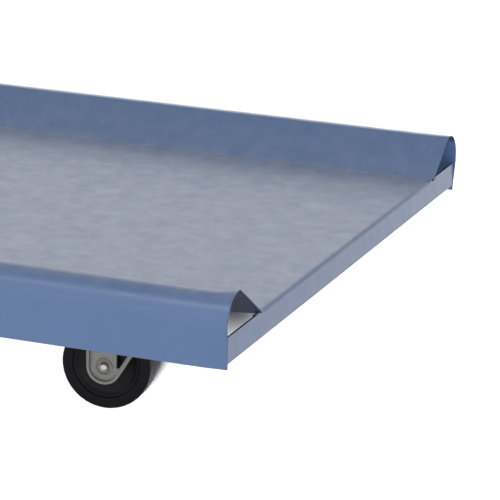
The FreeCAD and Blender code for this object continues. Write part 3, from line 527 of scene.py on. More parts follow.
def islands(node):
    """The box of each separate solid of a CAD node, as (low, high) pairs."""
    made = bmesh.new()
    made.from_mesh(frame["nodes"][node].data)
    bmesh.ops.remove_doubles(made, verts=made.verts, dist=0.001 * MM)
    left = set(made.verts)
    boxes = []
    while left:
        group = [left.pop()]
        for vert in group:
            for edge in vert.link_edges:
                other = edge.other_vert(vert)
                if other in left:
                    left.remove(other)
                    group.append(other)
        low = Vector([min(vert.co[axis] for vert in group) for axis in range(3)])
        high = Vector([max(vert.co[axis] for vert in group) for axis in range(3)])
        boxes.append((low, high))
    made.free()
    return sorted(boxes, key=lambda box: tuple(box[0]))


def eased_copy(node, body, slot, width, name, sharp=30.0):
    """A CAD node's own shape with its edges rounded."""
    made = bmesh.new()
    made.from_mesh(frame["nodes"][node].data)
    bmesh.ops.remove_doubles(made, verts=made.verts, dist=0.001 * MM)
    bmesh.ops.dissolve_limit(
        made, angle_limit=math.radians(1), verts=made.verts, edges=made.edges, use_dissolve_boundaries=False
    )
    shown = piece(name, made, body, slot, [node], sharp=sharp)
    return soften(shown, width, 2, 32.0)


# --------------------------------------------------------------------------- deck pan


def lip_outline():
    """Outer line of one lip in (distance in from the skirt, height over the deck)."""
    points = [(0.0, -SKIRT_DROP), (0.0, -SKIRT_DROP * 0.5), (0.0, 0.0)]
    points += arc_points((LIP_RADIUS, LIP_RISE - LIP_RADIUS), LIP_RADIUS, 180, 90, 16)
    crest = rounded(
        (
            (LIP_RADIUS, LIP_RISE, 0),
            (LIP_CREST, LIP_RISE, CREST_BEND),
            (LIP_RUN, 0, FOOT_BEND),
            (LIP_RUN + 12 * MM, 0, 0),
        ),
        count=5,
        closed=False,
    )
    return points + crest[1:-1]


def sheet_wave(x, y):
    """Slight unevenness of a pressed steel deck, well under a millimetre."""
    edge = min(1.0, (HALF_WIDTH - LIP_RUN - abs(y)) / (60 * MM))
    end = min(1.0, (min(x - DECK_REAR, DECK_NOSE - x)) / (90 * MM))
    if edge <= 0 or end <= 0:
        return 0.0
    return noise.noise(Vector((x * 3.1, y * 3.6, 1.7))) * 0.55 * MM * edge * end


def skirt_tuck(x, y, z):
    """How far the foot of a skirt is drawn in, close to the deck's ends."""
    if z >= 0 or abs(y) < HALF_WIDTH - 1 * MM:
        return 0.0
    from_end = min(x - DECK_REAR, DECK_NOSE - x)
    reach = max(0.0, 1.0 - from_end / (30 * MM))
    return -math.copysign(SKIRT_TUCK * reach * -z / SKIRT_DROP, y)


# How each lip springs open at the nose once cut: ahead, across at the foot, up at the crest.
SPRING_RIGHT = (0.0 * MM, 9.0 * MM, 3.6 * MM)
SPRING_LEFT = (2.2 * MM, 4.0 * MM, 1.0 * MM)
SPRING_REACH = 34 * MM
SPRING_DEPTH = 30 * MM


def lip_spring(x, y, z):
    """How far a point of a lip moves where the lip springs open towards the nose."""
    inset = HALF_WIDTH - abs(y)
    ease = max(0.0, 1.0 - (DECK_NOSE - x) / SPRING_REACH) ** 1.5
    if ease == 0.0 or z < -SPRING_DEPTH:
        return Vector((0, 0, 0))
    ahead, across, lift = SPRING_RIGHT if y < 0 else SPRING_LEFT
    if z < 0:
        return Vector((ahead * ease * (1 + z / SPRING_DEPTH), 0, 0))
    share = min(1.0, inset / LIP_RUN)
    rise = min(1.0, inset / LIP_CREST) * z / LIP_RISE
    return Vector((ahead, across * share, lift * rise)) * ease


def flange_faces(made, at, inner_ys, foot):
    """End flanges: the deck turns down through a bend, and tabs run out under the lips."""
    bend_half = foot - BEND_RELIEF
    tab_half = HALF_WIDTH - LIP_RUN + TAB_SETBACK
    edge_half = HALF_WIDTH - SHEET - CORNER_GAP
    bend_ys = [-bend_half] + inner_ys + [bend_half]
    levels = [-FLANGE_BEND - 1.0 * MM, -14 * MM, -22 * MM, -FLANGE_DROP]
    tab_levels = [-0.4 * MM] + levels
    for sign, tip in ((1.0, DECK_NOSE), (-1.0, DECK_REAR)):
        start = tip - sign * FLANGE_BEND
        profile = [(start, 0.0)]
        for x, z in arc_points((0, -FLANGE_BEND), FLANGE_BEND, 90, 0, 6)[1:]:
            profile.append((start + sign * x, z))
        profile += [(tip, level) for level in levels]
        bend = [[at(x, y, z) for y in bend_ys] for x, z in profile]
        for r in range(len(profile) - 1):
            for c in range(len(bend_ys) - 1):
                corners = (bend[r][c], bend[r + 1][c], bend[r + 1][c + 1], bend[r][c + 1])
                made.faces.new(corners if sign > 0 else corners[::-1])
        for side in (-1.0, 1.0):
            ys = [bend_half, tab_half, edge_half]
            tab = [[at(tip, side * y, z) for y in ys] for z in tab_levels]
            for r in range(len(tab_levels) - 1):
                for c in range(2):
                    if r == 0 and c == 0:
                        continue
                    corners = (tab[r][c], tab[r + 1][c], tab[r + 1][c + 1], tab[r][c + 1])
                    made.faces.new(corners if sign * side > 0 else corners[::-1])


def build_pan():
    """The formed sheet: one outer surface, thickened inwards, its cut edges rounded."""
    lip = lip_outline()
    foot = HALF_WIDTH - lip[-1][0]
    columns = 28
    flat = [(-foot + 2 * foot * k / columns, 0.0) for k in range(1, columns)]
    right = [(-HALF_WIDTH + inset, height) for inset, height in lip]
    left = [(HALF_WIDTH - inset, height) for inset, height in lip][::-1]
    section = right + flat + left
    inner = DECK_REAR + FLANGE_BEND
    outer = DECK_NOSE - FLANGE_BEND
    rows = 56
    stations = [DECK_REAR] + [inner + (outer - inner) * k / rows for k in range(rows + 1)]
    stations[-1:] = [outer - 14 * MM, outer - 8 * MM, outer - 3 * MM, outer, DECK_NOSE]
    made = bmesh.new()

    def at(x, y, z):
        return made.verts.new((x, y + skirt_tuck(x, y, z), DECK_Z + z))

    def on_sheet(x, y, z):
        spot = Vector((x, y + skirt_tuck(x, y, z), DECK_Z + z + sheet_wave(x, y)))
        if abs(y) > foot - 0.1 * MM:
            spot += lip_spring(x, y, z)
        return made.verts.new(spot)

    first_deck = len(right) - 1
    last_deck = len(right) + len(flat)
    grid = [[on_sheet(x, y, z) for y, z in section] for x in stations]
    for r in range(len(stations) - 1):
        end_row = r in (0, len(stations) - 2)
        for c in range(len(section) - 1):
            if not (end_row and first_deck <= c < last_deck):
                made.faces.new((grid[r][c], grid[r + 1][c], grid[r + 1][c + 1], grid[r][c + 1]))
    flange_faces(made, at, [y for y, _ in flat], foot)
    bmesh.ops.remove_doubles(made, verts=made.verts, dist=0.02 * MM)
    loose = [vert for vert in made.verts if not vert.link_faces]
    bmesh.ops.delete(made, geom=loose, context="VERTS")
    made.normal_update()
    level = next(face for face in made.faces if abs(face.normal.z) > 0.99)
    if level.normal.z < 0:
        bmesh.ops.reverse_faces(made, faces=made.faces)
    sheet = as_mesh(made, "deck_pan_sheet")
    shown = piece("deck_pan_sheet", sheet, "root", "blue_powder_coat", ["deck_pan"], material=PAINT)
    # The inner shell takes the inside coat, with its painted light behind the skirts and painted shade under the
    # deck.
    sheet.materials.append(PAINT_INSIDE_LIT_AND_SHADED)
    solid = thicken(shown, SHEET, -1.0)
    solid.material_offset = 1
    solid.material_offset_rim = 1
    soften(shown, 0.45 * MM, 2, 60.0)
    return foot


def corner_welds(foot):
    """Ground-flush welds that close the slit beside each end bend."""
    blocks = []
    for sign, tip in ((1.0, DECK_NOSE), (-1.0, DECK_REAR)):
        for side in (-1.0, 1.0):
            made = bmesh.new()
            line = mm_profile(((0, -0.02), (4.0, -0.02), (4.54, -0.5), (4.54, -6.5), (2.6, -6.5), (0, -2.2)))
            rings = []
            inboard = 12.0 * MM if sign > 0 and side < 0 else 3.0 * MM
            for y in (foot - inboard, foot + 8.0 * MM):
                rings.append(
                    [
                        made.verts.new((tip - sign * (FLANGE_BEND - x), side * y, DECK_Z + z))
                        for x, z in line
                    ]
                )
            skin(made, rings, capped=True)
            blocks.append(made)
    shown = piece("deck_corner_welds", joined(blocks), "root", "blue_powder_coat", material=PAINT)
    soften(shown, 0.4 * MM, 3, 30.0)


corner_welds(build_pan())

# --------------------------------------------------------------- channels and stringer


def hat_path(web, foot, depth, thick, bend):
    """Outer line of a hat section, feet at z = 0, open side up."""
    half = web / 2
    return rounded(
        (
            (-half - foot, -thick, 0),
            (-half, -thick, bend - thick),
            (-half, -depth, bend),
            (half, -depth, bend),
            (half, -thick, bend - thick),
            (half + foot, -thick, 0),
        ),
        count=5,
        closed=False,
    )


def folded_sheet(node, path, thick, reach, place):
    """Sheet folded along a path and run both ways along its own Z."""
    made = bmesh.new()
    rows = 12
    rings = []
    for k in range(rows + 1):
        along = reach * (2 * k / rows - 1)
        rings.append([made.verts.new((x, y, along)) for x, y in path])
    skin(made, rings, closed_round=False)
    sheet = as_mesh(made)
    shown = piece(f"{node}_sheet", sheet, "root", "blue_powder_coat", [node], place)
    thicken(shown, thick, 1.0)
    soften(shown, 0.4 * MM, 2, 60.0)


UPRIGHT = Matrix(((1, 0, 0, 0), (0, 0, -1, 0), (0, 1, 0, 0), (0, 0, 0, 1)))
ALONG = Matrix(((0, 0, 1, 0), (1, 0, 0, 0), (0, 1, 0, 0), (0, 0, 0, 1)))
welds = []
for node, web, foot_width, thick, turn in (
    ("front_caster_channel", 116 * MM, 15 * MM, 3 * MM, UPRIGHT),
    ("rear_caster_channel", 116 * MM, 15 * MM, 3 * MM, UPRIGHT),
    ("centre_stringer", 70 * MM, 18 * MM, 2 * MM, ALONG),
):
    low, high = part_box(node)
    middle = (low + high) / 2
    lengthwise = turn is ALONG
    reach = (high.x - low.x) / 2 if lengthwise else (high.y - low.y) / 2
    path = hat_path(web, foot_width, high.z - low.z, thick, 4 * MM)
    folded_sheet(node, path, thick, reach, Matrix.Translation((middle.x, middle.y, high.z)) @ turn)
    edge = web / 2 + foot_width + 0.2 * MM
    stitches = 7
    for side in (-1, 1):
        for k in range(stitches):
            run = reach * 0.92 * (2 * k / (stitches - 1) - 1)
            spots = []
            for half_length in (-14 * MM, 14 * MM):
                along, across = run * 0.97 + half_length, side * edge
                x, y = (along, across) if lengthwise else (across, along)
                spots.append(Vector((middle.x + x, middle.y + y, high.z - 0.6 * MM)))
            welds.append(bead(*spots, 1.6 * MM))
piece("under_deck_welds", joined(welds), "root", "blue_powder_coat")

# ---------------------------------------------------------------------------- casters

WHEEL_R = joints["rear_right_wheel_roll"]["pos_m"][2]
SPIN_UP = Matrix.Rotation(math.radians(90), 4, "X")
LEG_FACE = FORK_GAP / 2 + FORK_SHEET
AXLE_HOLE = circle_points(0, 0, AXLE_SEAT)


def at_slant(offset, height):
    """Where a line parallel to the slanted edge, at an offset from the axle, meets a height."""
    return (offset + height * math.cos(LEG_SLANT)) / math.sin(LEG_SLANT)


def leg_line(radius, rise):
    """Edge of a swivel fork's leg at a radius from the axle: down, round its end, and up."""
    last = 270.0 + math.degrees(LEG_SLANT)
    points = [(-radius, rise)] + arc_points((0, 0), radius, 180.0, last, 24)
    return points + [(at_slant(radius, rise), rise)]


def rigid_line(radius, rise):
    """Edge of a rigid caster's leg, which widens evenly towards its plate."""
    spread = 38 * MM - (LEG_RADIUS - radius) * 1.05
    slant = math.degrees(RIGID_SLANT)
    return [(-spread, rise)] + arc_points((0, 0), radius, 270 - slant, 270 + slant, 24) + [(spread, rise)]


def pressed_leg(line, rise, holes, side, extra=()):
    """Pressed leg about its axle: a recessed web with a raised rim and a dished axle seat."""
    outline = line(LEG_RADIUS, rise)
    web = plate_mesh([outline, *holes], FORK_SHEET - 0.8 * MM, 0.3 * MM, -0.4 * MM)
    inner_edge = line(LEG_RADIUS - LEG_RIM, rise)[::-1]
    band = plate_mesh([outline + inner_edge], FORK_SHEET + RIM_PROUD, 1.1 * MM, RIM_PROUD / 2)
    seat = turned(
        (
            (4.95, -1.3), (5.4, -0.7), (7.2, -0.5), (8.0, 0.2), (8.6, 0.9), (9.6, 0.75),
            (10.2, 0.2), (10.2, -0.6), (4.95, -1.5),
        ),
        64,
    )
    rise_to_face = Matrix.Translation((0, 0, FORK_SHEET / 2 - 0.8 * MM))
    seat = moved(seat, rise_to_face @ SPIN_UP)
    whole = joined([web, band, seat, *extra])
    flip = Matrix.Diagonal((1, 1, -1 if side > 0 else 1, 1))
    away = Matrix.Translation((0, side * (FORK_GAP + FORK_SHEET) / 2, WHEEL_R))
    return moved(whole, away @ UPRIGHT @ flip)


def window_corners(lead, rise, rim_offset):
    """Corners of the open triangle between a leg's web and its slanted rim."""
    foot = (lead * math.sin(LEG_SLANT) - rim_offset) / math.cos(LEG_SLANT)
    return (lead, foot), (at_slant(rim_offset, rise), rise), (lead, rise)


def swivel_leg(rise, side):
    foot, far, corner = window_corners(WINDOW_LEAD, WINDOW_RISE, LEG_RADIUS - WINDOW_RIM)
    window = rounded(((*foot, 1.6 * MM), (*far, 2.5 * MM), (*corner, 3 * MM)), count=5)
    rib = 2.2 * MM
    line = rounded(
        (
            (foot[0] - rib, foot[1] + 2.0 * MM, 0.8 * MM),
            (foot[0] - 0.1 * MM, foot[1] + 4.5 * MM, 0.8 * MM),
            (corner[0] - 0.1 * MM, corner[1] - 3 * MM, 0.8 * MM),
            (corner[0] - rib, corner[1] - 3 * MM, 0.8 * MM),
        ),
        count=3,
    )
    edge_rib = plate_mesh([line], FORK_SHEET + 0.3 * MM, 0.6 * MM, 0.15 * MM)
    return pressed_leg(leg_line, rise, [AXLE_HOLE, window], side, [edge_rib])


def caster_plate(node):
    """Mounting plate with rounded corners and four slots; gives its mesh, middle and top."""
    low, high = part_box(node)
    half_x, half_y = (high.x - low.x) / 2, (high.y - low.y) / 2
    ring = rounded([(a * half_x, b * half_y, 8 * MM) for a, b in ((-1, -1), (1, -1), (1, 1), (-1, 1))])
    slots = []
    for a in (-1, 1):
        for b in (-1, 1):
            x, y = a * 40 * MM, b * 31 * MM
            slot = arc_points((x + 1.6 * MM, y), 4.3 * MM, -90, 90, 10)
            slots.append(slot + arc_points((x - 1.6 * MM, y), 4.3 * MM, 90, 270, 10))
    slab = plate_mesh([ring, *slots], PLATE_SHEET, 0.5 * MM, high.z - PLATE_SHEET / 2)
    return slab, (low + high) / 2, high.z


def build_top_plate(side_name):
    node = f"front_{side_name}_top_plate"
    slab, middle, top = caster_plate(node)
    depth = (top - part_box(node)[0].z) / MM
    race = turned(
        (
            (5.2, -2.8), (31.5, -2.8), (30.0, -3.5), (28.3, -4.6), (28.0, -depth + 1.0),
            (27.0, -depth + 0.2), (25.5, -depth + 0.1), (5.2, -depth + 0.1),
        )
    )
    race = moved(race, Matrix.Translation((0, 0, top)) @ SPIN_UP)
    place = Matrix.Translation((middle.x, middle.y, 0))
    piece(f"{node}_pressing", joined([slab, race]), "root", "zinc_pressing", [node], place, 30.0)


def crown_outline(back, front, disc=30 * MM):
    """Plan of a fork crown: a disc over the kingpin, run out over both legs."""
    touch = math.degrees(math.asin(LEG_FACE / disc))
    outline = [(back, -LEG_FACE)] + arc_points((0, 0), disc, 180 + touch, 360 - touch, 20)
    outline += [(front, -LEG_FACE), (front, LEG_FACE)]
    return outline + arc_points((0, 0), disc, touch, 180 - touch, 20) + [(back, LEG_FACE)]


def build_fork(side_name):
    """Swivel fork, built about its own kingpin axis and turned as its wheel's joint says."""
    node = f"front_{side_name}_fork"
    swivel = Vector(joints[f"front_{side_name}_swivel"]["pos_m"])
    wheel = Vector(joints[f"front_{side_name}_wheel_roll"]["pos_m"])
    ahead = (swivel - wheel) * Vector((1, 1, 0))
    trail = ahead.length
    crown_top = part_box(node)[1].z - 2.0 * MM
    rise = crown_top - WHEEL_R
    to_axle = Matrix.Translation((-trail, 0, 0))
    legs = [moved(swivel_leg(rise - 1.0 * MM, side), to_axle) for side in (-1, 1)]
    outline = crown_outline(-trail - LEG_RADIUS, -trail + at_slant(LEG_RADIUS, rise))
    hole = circle_points(0, 0, 5.5 * MM)
    crown = plate_mesh([outline, hole], FORK_SHEET, 0.9 * MM, crown_top - FORK_SHEET / 2)
    race = turned(
        (
            (18.0, -0.5), (18.0, 1.6), (18.6, 2.0), (27.2, 2.0), (28.0, 1.3), (28.4, 0.3),
            (29.6, -0.5),
        )
    )
    race = moved(race, Matrix.Translation((0, 0, crown_top)) @ SPIN_UP)
    turn = Matrix.Rotation(math.atan2(ahead.y, ahead.x), 4, "Z")
    place = Matrix.Translation((swivel.x, swivel.y, 0)) @ turn
    whole = joined([*legs, crown, race])
    piece(f"{node}_pressing", whole, f"front_{side_name}_swivel", "zinc_pressing", [node], place, 32.0)


def build_rigid_frame(side_name):
    node = f"rear_{side_name}_frame"
    slab, middle, top = caster_plate(node)
    rise = top - 1.2 * MM - WHEEL_R
    legs = [pressed_leg(rigid_line, rise, [AXLE_HOLE], side) for side in (-1, 1)]
    place = Matrix.Translation((middle.x, middle.y, 0))
    piece(f"{node}_pressing", joined([slab, *legs]), "root", "zinc_pressing", [node], place, 32.0)


def wheel_place(name):
    """Frame of a wheel: origin at its centre, Y along its axle."""
    joint = joints[f"{name}_wheel_roll"]
    axle = Vector(joint["axis"])
    ahead = axle.cross(Vector((0, 0, 1)))
    turn = Matrix((ahead, axle, Vector((0, 0, 1)))).transposed().to_4x4()
    return Matrix.Translation(joint["pos_m"]) @ turn


TYRE_HALF = mm_profile(
    (
        (37.9, 0.0), (37.9, -13.6), (38.5, -14.3), (39.6, -14.8), (41.5, -15.0), (48.0, -15.0),
        (49.2, -14.75), (50.0, -14.2), (50.5, -13.4), (50.72, -12.2), (50.8, -9.5), (50.8, -4.0),
        (50.8, 0.0),
    )
)
CORE_HALF = mm_profile(
    (
        (11.0, 0.0), (11.0, -18.0), (15.2, -18.0), (16.0, -17.2), (17.2, -12.0), (18.8, -10.6),
        (24.0, -10.2), (30.0, -10.6), (33.4, -11.8), (35.4, -13.4), (36.4, -14.0), (37.2, -14.0),
        (37.9, -13.4), (37.9, 0.0),
    )
)


def build_wheel(name):
    place = wheel_place(name)
    body = f"{name}_wheel"
    tyre = lathe(mirrored(TYRE_HALF), 128)
    piece(f"{name}_tyre_tread", tyre, body, "tyre_rubber", [f"{name}_tyre"], place, 50.0)
    core = lathe(mirrored(CORE_HALF), 128)
    piece(f"{name}_core_moulding", core, body, "wheel_core", [f"{name}_core"], place, 50.0)


def build_axle(name, body):
    """Domed axle bolt on the right-hand side, flanged lock nut and thread on the left."""
    place = wheel_place(name)
    face = LEG_FACE / MM
    dome = turned(
        (
            (0, -face - 2.6), (1.6, -face - 2.5), (3.1, -face - 2.0), (4.2, -face - 1.1),
            (4.8, -face + 0.1), (4.9, -face + 1.2), (4.9, face + 8.0), (0, face + 8.0),
        ),
        64,
    )
    end = threaded(5.0 * MM, LEG_FACE + 7.8 * MM, LEG_FACE + 11.0 * MM, 1.25 * MM)
    bolt = joined([dome, end])
    piece(f"{name}_axle_bolt_turned", bolt, body, "zinc_fastener", [f"{name}_axle_bolt"], place, 40.0)
    flange = turned(
        (
            (5.0, face), (10.0, face), (10.3, face + 0.5), (10.0, face + 1.1), (8.0, face + 1.9),
            (5.0, face + 1.9),
        ),
        48,
    )
    nut = joined([hexagon(17 * MM, 8.0 * MM, LEG_FACE + 1.0 * MM), flange])
    piece(f"{name}_axle_nut_turned", nut, body, "zinc_fastener", [f"{name}_axle_nut"], place, 30.0)


for side_name in ("right", "left"):
    build_top_plate(side_name)
    build_fork(side_name)
    build_rigid_frame(side_name)
    for end_name in ("front", "rear"):
        build_wheel(f"{end_name}_{side_name}")
    build_axle(f"front_{side_name}", f"front_{side_name}_swivel")
    build_axle(f"rear_{side_name}", "root")

# ------------------------------------------------------------------- bolts and nuts


def bolt_mesh(radius, flats, head, length):
    """Hexagon bolt about Y: its head from y = -head to 0, a washer face, then a thread."""
    rim = flats / MM * 0.56
    washer = turned(((0.1, -0.3), (rim, -0.3), (rim, 0.6), (0.1, 0.6)), 40)
    shank = threaded(radius, 0.3 * MM, length, 1.25 * MM)
    return joined([hexagon(flats, head - 0.3 * MM, -head), washer, shank])


def towards(axis, sign):
    """Turn that takes +Y to an axis of the cart."""
    target = Vector([sign if k == axis else 0 for k in range(3)])
    return Vector((0, 1, 0)).rotation_difference(target).to_matrix().to_4x4()


def fastener_set(bolts, nuts, axis, head_sign, radius, flats, head, nut):
    """Shows a node of bolts and its node of nuts; head_sign tells which end has the head."""
    bolt_meshes = []
    for low, high in islands(bolts):
        sign = head_sign((low + high) / 2)
        spot = (low + high) / 2
        spot[axis] = (high[axis] if sign > 0 else low[axis]) - sign * head
        length = high[axis] - low[axis] - head
        turn = Matrix.Translation(spot) @ towards(axis, -sign)
        bolt_meshes.append(moved(bolt_mesh(radius, flats, head, length), turn))
    piece(f"{bolts}_turned", joined(bolt_meshes), "root", "zinc_fastener", [bolts], sharp=30.0)
    nut_meshes = []
    for low, high in islands(nuts):
        sign = head_sign((low + high) / 2)
        spot = (low + high) / 2
        spot[axis] = high[axis] if sign > 0 else low[axis]
        turn = Matrix.Translation(spot) @ towards(axis, -sign)
        nut_meshes.append(moved(hexagon(flats, nut), turn))
    piece(f"{nuts}_turned", joined(nut_meshes), "root", "zinc_fastener", [nuts], sharp=30.0)


M8 = (4 * MM, 13 * MM, 5.3 * MM, 6.8 * MM)
M12 = (6 * MM, 18 * MM, 7.5 * MM, 10.4 * MM)
fastener_set("caster_bolts", "caster_nuts", 2, lambda spot: 1, *M8)
fastener_set("bracket_bolts", "bracket_nuts", 0, lambda spot: -1, *M8)
fastener_set("pivot_bolts", "pivot_nuts", 1, lambda spot: math.copysign(1, spot.y), *M12)

# ---------------------------------------------------------------------------- handle

pivot = Vector(joints["handle_fold"]["pos_m"])
HANDLE = Matrix.Translation(pivot) @ Matrix.Rotation(-HANDLE_LEAN, 4, "Y")


def build_handle_tube():
    path = [Vector((0, -HANDLE_HALF, -HANDLE_TAIL))]
    straight = HANDLE_REACH - HANDLE_BEND
    for k in range(1, 9):
        path.append(Vector((0, -HANDLE_HALF, -HANDLE_TAIL + (straight + HANDLE_TAIL) * k / 9)))
    for y, z in arc_points((-HANDLE_HALF + HANDLE_BEND, straight), HANDLE_BEND, 180, 90, 24):
        path.append(Vector((0, y, z)))
    path += [Vector((0, -point.y, point.z)) for point in path[::-1]]
    made = bmesh.new()
    shells = {TUBE_RADIUS: [], TUBE_RADIUS - TUBE_WALL: []}
    sides = 40
    for k, point in enumerate(path):
        ahead = (path[min(k + 1, len(path) - 1)] - path[max(k - 1, 0)]).normalized()
        lift = Vector((1, 0, 0)).cross(ahead)
        for radius, rings in shells.items():
            ring = []
            for j in range(sides):
                angle = 2 * math.pi * j / sides
                spoke = Vector((1, 0, 0)) * math.cos(angle) + lift * math.sin(angle)
                ring.append(made.verts.new(point + spoke * radius))
            rings.append(ring)
    outer, inner = shells.values()
    skin(made, outer)
    skin(made, inner)
    for end in (0, -1):
        skin(made, (outer[end], inner[end]))
    piece("handle_tube_bent", made, "handle", "blue_tube_coat", ["handle_tube"], HANDLE, 50.0)


def build_grip():
    """Ribbed vinyl sleeve with a plain collar at each end."""
    low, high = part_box("handle_grip")
    half = (high.y - low.y) / 2
    outer = 16.4 * MM
    groove = outer - 1.1 * MM
    inner = TUBE_RADIUS
    profile = [(inner, -half), (outer - 0.8 * MM, -half), (outer, -half + 1.2 * MM), (outer, -half + 9 * MM)]
    ribs = 38
    ribbed = half - 11 * MM
    pitch = 2 * ribbed / ribs
    for k in range(ribs):
        start = -ribbed + pitch * k
        for depth, along in ((0, 0.0), (0, 0.30), (1, 0.45), (1, 0.85)):
            profile.append((groove + depth * 0.95 * MM, start + pitch * along))
    profile += [(groove, ribbed), (outer, half - 9 * MM), (outer, half - 1.2 * MM)]
    profile += [(outer - 0.8 * MM, half), (inner, half)]
    place = HANDLE @ Matrix.Translation((0, 0, HANDLE_REACH))
    piece("handle_grip_sleeve", lathe(profile, 72), "handle", "grip_rubber", ["handle_grip"], place, 45.0)


def knurl(radius, along, k):
    """Grips the rim of a knob: every third facet of its straight part is cut in."""
    return radius - 0.7 * MM if radius > 9.6 * MM and k % 3 == 0 else radius


def build_lock_pin(side_name):
    """Turned locking pin with a knurled knob, drawn out at rest."""
    node = f"lock_pin_{side_name}"
    low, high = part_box(node)
    length = (high.y - low.y) / MM
    rim = length - 13.0
    profile = mm_profile(
        (
            (0, 0), (4.0, 0), (5.0, 1.5), (5.0, length - 17.0), (7.5, length - 17.0),
            (8.2, length - 15.6), (9.0, length - 14.0), (9.7, rim), (10.0, rim + 0.8),
            (10.0, rim + 7.6), (9.7, rim + 8.4), (8.6, length - 2.0), (7.2, length - 0.9),
            (3.0, length - 0.1), (0, length),
        )
    )
    side = 1 if high.y > 0 else -1
    spot = Vector(((low.x + high.x) / 2, low.y if side > 0 else high.y, (low.z + high.z) / 2))
    place = Matrix.Translation(spot) @ towards(1, side)
    turned = lathe(profile, 96, knurl)
    piece(f"{node}_turned", turned, f"lock_{side_name}", "zinc_fastener", [node], place, 30.0)


build_handle_tube()
build_grip()
ear_welds = []
for side_name, side in (("right", -1), ("left", 1)):
    build_lock_pin(side_name)
    bracket = f"handle_bracket_{side_name}"
    eased_copy(bracket, "root", "blue_powder_coat", 0.8 * MM, f"{bracket}_plate")
    low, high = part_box(bracket)
    base_face = high.x - 4.0 * MM
    for y in (-18.9, -14.5, 14.5, 18.9):
        foot = Vector((base_face - 0.4 * MM, side * HANDLE_HALF + y * MM, low.z + 5 * MM))
        ear_welds.append(bead(foot, foot + Vector((0, 0, 34 * MM)), 1.7 * MM))
    for y in (-40.0, 26.0):
        foot = Vector((base_face + 1.0 * MM, side * HANDLE_HALF + y * MM, low.z - 0.2 * MM))
        ear_welds.append(bead(foot, foot + Vector((0, 14 * MM, 0)), 1.4 * MM))
for low, high in islands("lock_sleeves"):
    inboard = low.y if low.y > 0 else high.y
    step = math.copysign(0.4 * MM, inboard)
    centre = Vector(((low.x + high.x) / 2, inboard + step, (low.z + high.z) / 2))
    reach = (high.x - low.x) / 2 + 0.3 * MM
    corners = [centre + Vector((reach * x, 0, reach * z)) for x, z in circle_points(0, 0, 1.0, 12)]
    for first, second in zip(corners, corners[1:] + corners[:1]):
        ear_welds.append(bead(first, second, 1.3 * MM))
piece("handle_bracket_welds", joined(ear_welds), "root", "blue_powder_coat")

SOFTENED = (
    ("lock_sleeves", "root", 0.6),
    ("leg_plugs", "handle", 0.6),
    ("pivot_bushings", "handle", 0.3),
    ("front_right_kingpin", "root", 0.5),
    ("front_left_kingpin", "root", 0.5),
)
slot_of = {part["node"]: part["material_slot"] for part in record["subparts"]}
for node, body, width in SOFTENED:
    eased_copy(node, body, slot_of[node], width * MM, f"{node}_eased")

# Parts kept as the frame has them get their finish here.
for node, shown in frame["nodes"].items():
    if not shown.data.materials:
        shown.data.materials.append(None)
    for index in range(len(shown.data.materials)):
        shown.data.materials[index] = SLOTS[slot_of[node]]

# ------------------------------------------------------------------------- studio

FLOOR_REACH = 14.0
floor_mesh = bpy.data.meshes.new("studio_floor")
FLOOR_CLEARANCE = 0.4 * MM
floor_corners = [
    (a * FLOOR_REACH, b * FLOOR_REACH, -FLOOR_CLEARANCE) for a, b in ((-1, -1), (1, -1), (1, 1), (-1, 1))
]
floor_mesh.from_pydata(floor_corners, [], [(0, 1, 2, 3)])
floor = bpy.data.objects.new("studio_floor", floor_mesh)
bpy.context.scene.collection.objects.link(floor)
floor_nodes = Nodes("studio_floor_pale")
tone = floor_nodes.ramp(floor_nodes.noise(0.8), 0.3, 0.7)
floor_color = floor_nodes.mix(tone, (0.54, 0.54, 0.54), (0.56, 0.56, 0.56))
floor_rough = floor_nodes.ramp(floor_nodes.noise(3.0), 0.3, 0.7, 0.85, 0.9)
floor_bump = floor_nodes.bump(floor_nodes.noise(50.0), 0.0001, 0.1)
floor_mesh.materials.append(floor_nodes.finish(floor_color, floor_rough, floor_bump, Specular_IOR_Level=0.1))

world = bpy.data.worlds.new("studio")
bpy.context.scene.world = world
world.use_nodes = True


class Sky(Nodes):
    """The same short calls on the world's tree."""

    def __init__(self, tree):
        self.tree = tree
        self.coords = tree.nodes.new("ShaderNodeTexCoord")


sky = Sky(world.node_tree)
height = sky.part_of("Generated", "Z")
ahead = sky.part_of("Generated", "Y")
dome = sky.ramp(height, 0.15, 0.6, 0.58, 0.45)
towards_window = sky.math("ADD", ahead, sky.math("MULTIPLY", sky.part_of("Generated", "X"), 0.35))
window_wall = sky.ramp(towards_window, -0.2, -0.5, 0.0, 1.85)
back_wall = sky.math("MULTIPLY", sky.ramp(ahead, 0.3, 0.8), sky.ramp(height, 0.35, 0.6, 1.15, 0.0))
background = world.node_tree.nodes["Background"]
sky.link(sky.math("ADD", dome, sky.math("ADD", window_wall, back_wall)), background.inputs["Strength"])
background.inputs["Color"].default_value = (1.0, 1.0, 1.0, 1.0)


def softbox(name, spot, aim, width, height, power):
    light = bpy.data.lights.new(name, "AREA")
    light.shape = "RECTANGLE"
    light.size = width
    light.size_y = height
    light.energy = power
    holder = bpy.data.objects.new(name, light)
    bpy.context.scene.collection.objects.link(holder)
    holder.location = spot
    holder.rotation_mode = "QUATERNION"
    holder.rotation_quaternion = (Vector(aim) - Vector(spot)).to_track_quat("-Z", "Y")


STRIP_ALONG = 0.35
softbox("front_strip", (STRIP_ALONG, -2.18, 3.73), (STRIP_ALONG, -0.36, 0.17), 3.4, 0.35, 56)

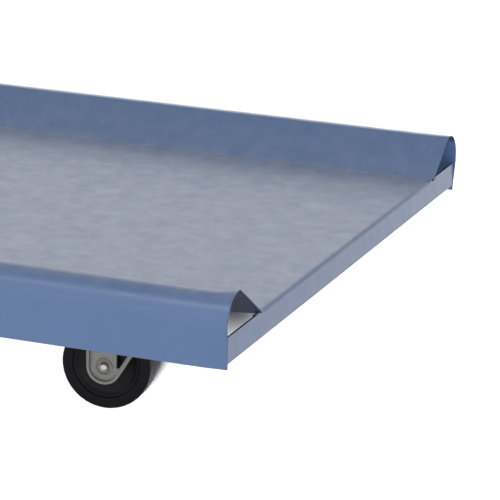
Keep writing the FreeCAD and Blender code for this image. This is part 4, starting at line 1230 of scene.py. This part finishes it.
# The floor has a light of its own, low and from the front right, as a studio lights its sweep.
# It reaches only the floor, and the cart casts its real shadow in it.
FLOOR_LIGHT_TURN = math.radians(18.5)
FLOOR_LIGHT_RISE = math.radians(14.0)
FLOOR_LIGHT_SOFTNESS = math.radians(5)
FLOOR_LIGHT_STRENGTH = 25.0
floor_sun = bpy.data.lights.new("floor_light", "SUN")
floor_sun.energy = FLOOR_LIGHT_STRENGTH
floor_sun.angle = FLOOR_LIGHT_SOFTNESS
floor_light = bpy.data.objects.new("floor_light", floor_sun)
bpy.context.scene.collection.objects.link(floor_light)
floor_light.rotation_mode = "QUATERNION"
floor_light.rotation_quaternion = Vector(
    (
        -math.sin(FLOOR_LIGHT_TURN) * math.cos(FLOOR_LIGHT_RISE),
        math.cos(FLOOR_LIGHT_TURN) * math.cos(FLOOR_LIGHT_RISE),
        -math.sin(FLOOR_LIGHT_RISE),
    )
).to_track_quat("-Z", "Y")
floor_only = bpy.data.collections.new("floor_only")
floor_only.objects.link(floor)
floor_light.light_linking.receiver_collection = floor_only

# -------------------------------------------------------------------------- camera

# The camera is placed from the deck's nose end, its right skirt and its top surface.
CAMERA_AHEAD = 1.12147
CAMERA_ASIDE = -2.81656
CAMERA_ABOVE = 1.02489
CAMERA_AZIMUTH = math.radians(21.2898)
CAMERA_ELEVATION = math.radians(17.0299)
CAMERA_ROLL = math.radians(1.1386)
CAMERA_LENS = 222.115

view_back = Vector(
    (
        math.sin(CAMERA_AZIMUTH) * math.cos(CAMERA_ELEVATION),
        -math.cos(CAMERA_AZIMUTH) * math.cos(CAMERA_ELEVATION),
        math.sin(CAMERA_ELEVATION),
    )
)
level_right = (-view_back).cross(Vector((0, 0, 1))).normalized()
level_up = level_right.cross(-view_back)
view_right = level_right * math.cos(CAMERA_ROLL) + level_up * math.sin(CAMERA_ROLL)
view_up = level_up * math.cos(CAMERA_ROLL) - level_right * math.sin(CAMERA_ROLL)
camera_data = bpy.data.cameras.new("camera")
camera_data.lens = CAMERA_LENS
camera_data.sensor_width = 36.0
camera_data.clip_start = 0.05
camera_data.clip_end = 60.0
camera = bpy.data.objects.new("camera", camera_data)
bpy.context.scene.collection.objects.link(camera)
turn = Matrix((view_right, view_up, view_back)).transposed().to_4x4()
spot = (DECK_NOSE + CAMERA_AHEAD, -HALF_WIDTH + CAMERA_ASIDE, DECK_Z + CAMERA_ABOVE)
camera.matrix_world = Matrix.Translation(spot) @ turn
bpy.context.scene.camera = camera
bpy.context.scene.view_settings.view_transform = "Standard"
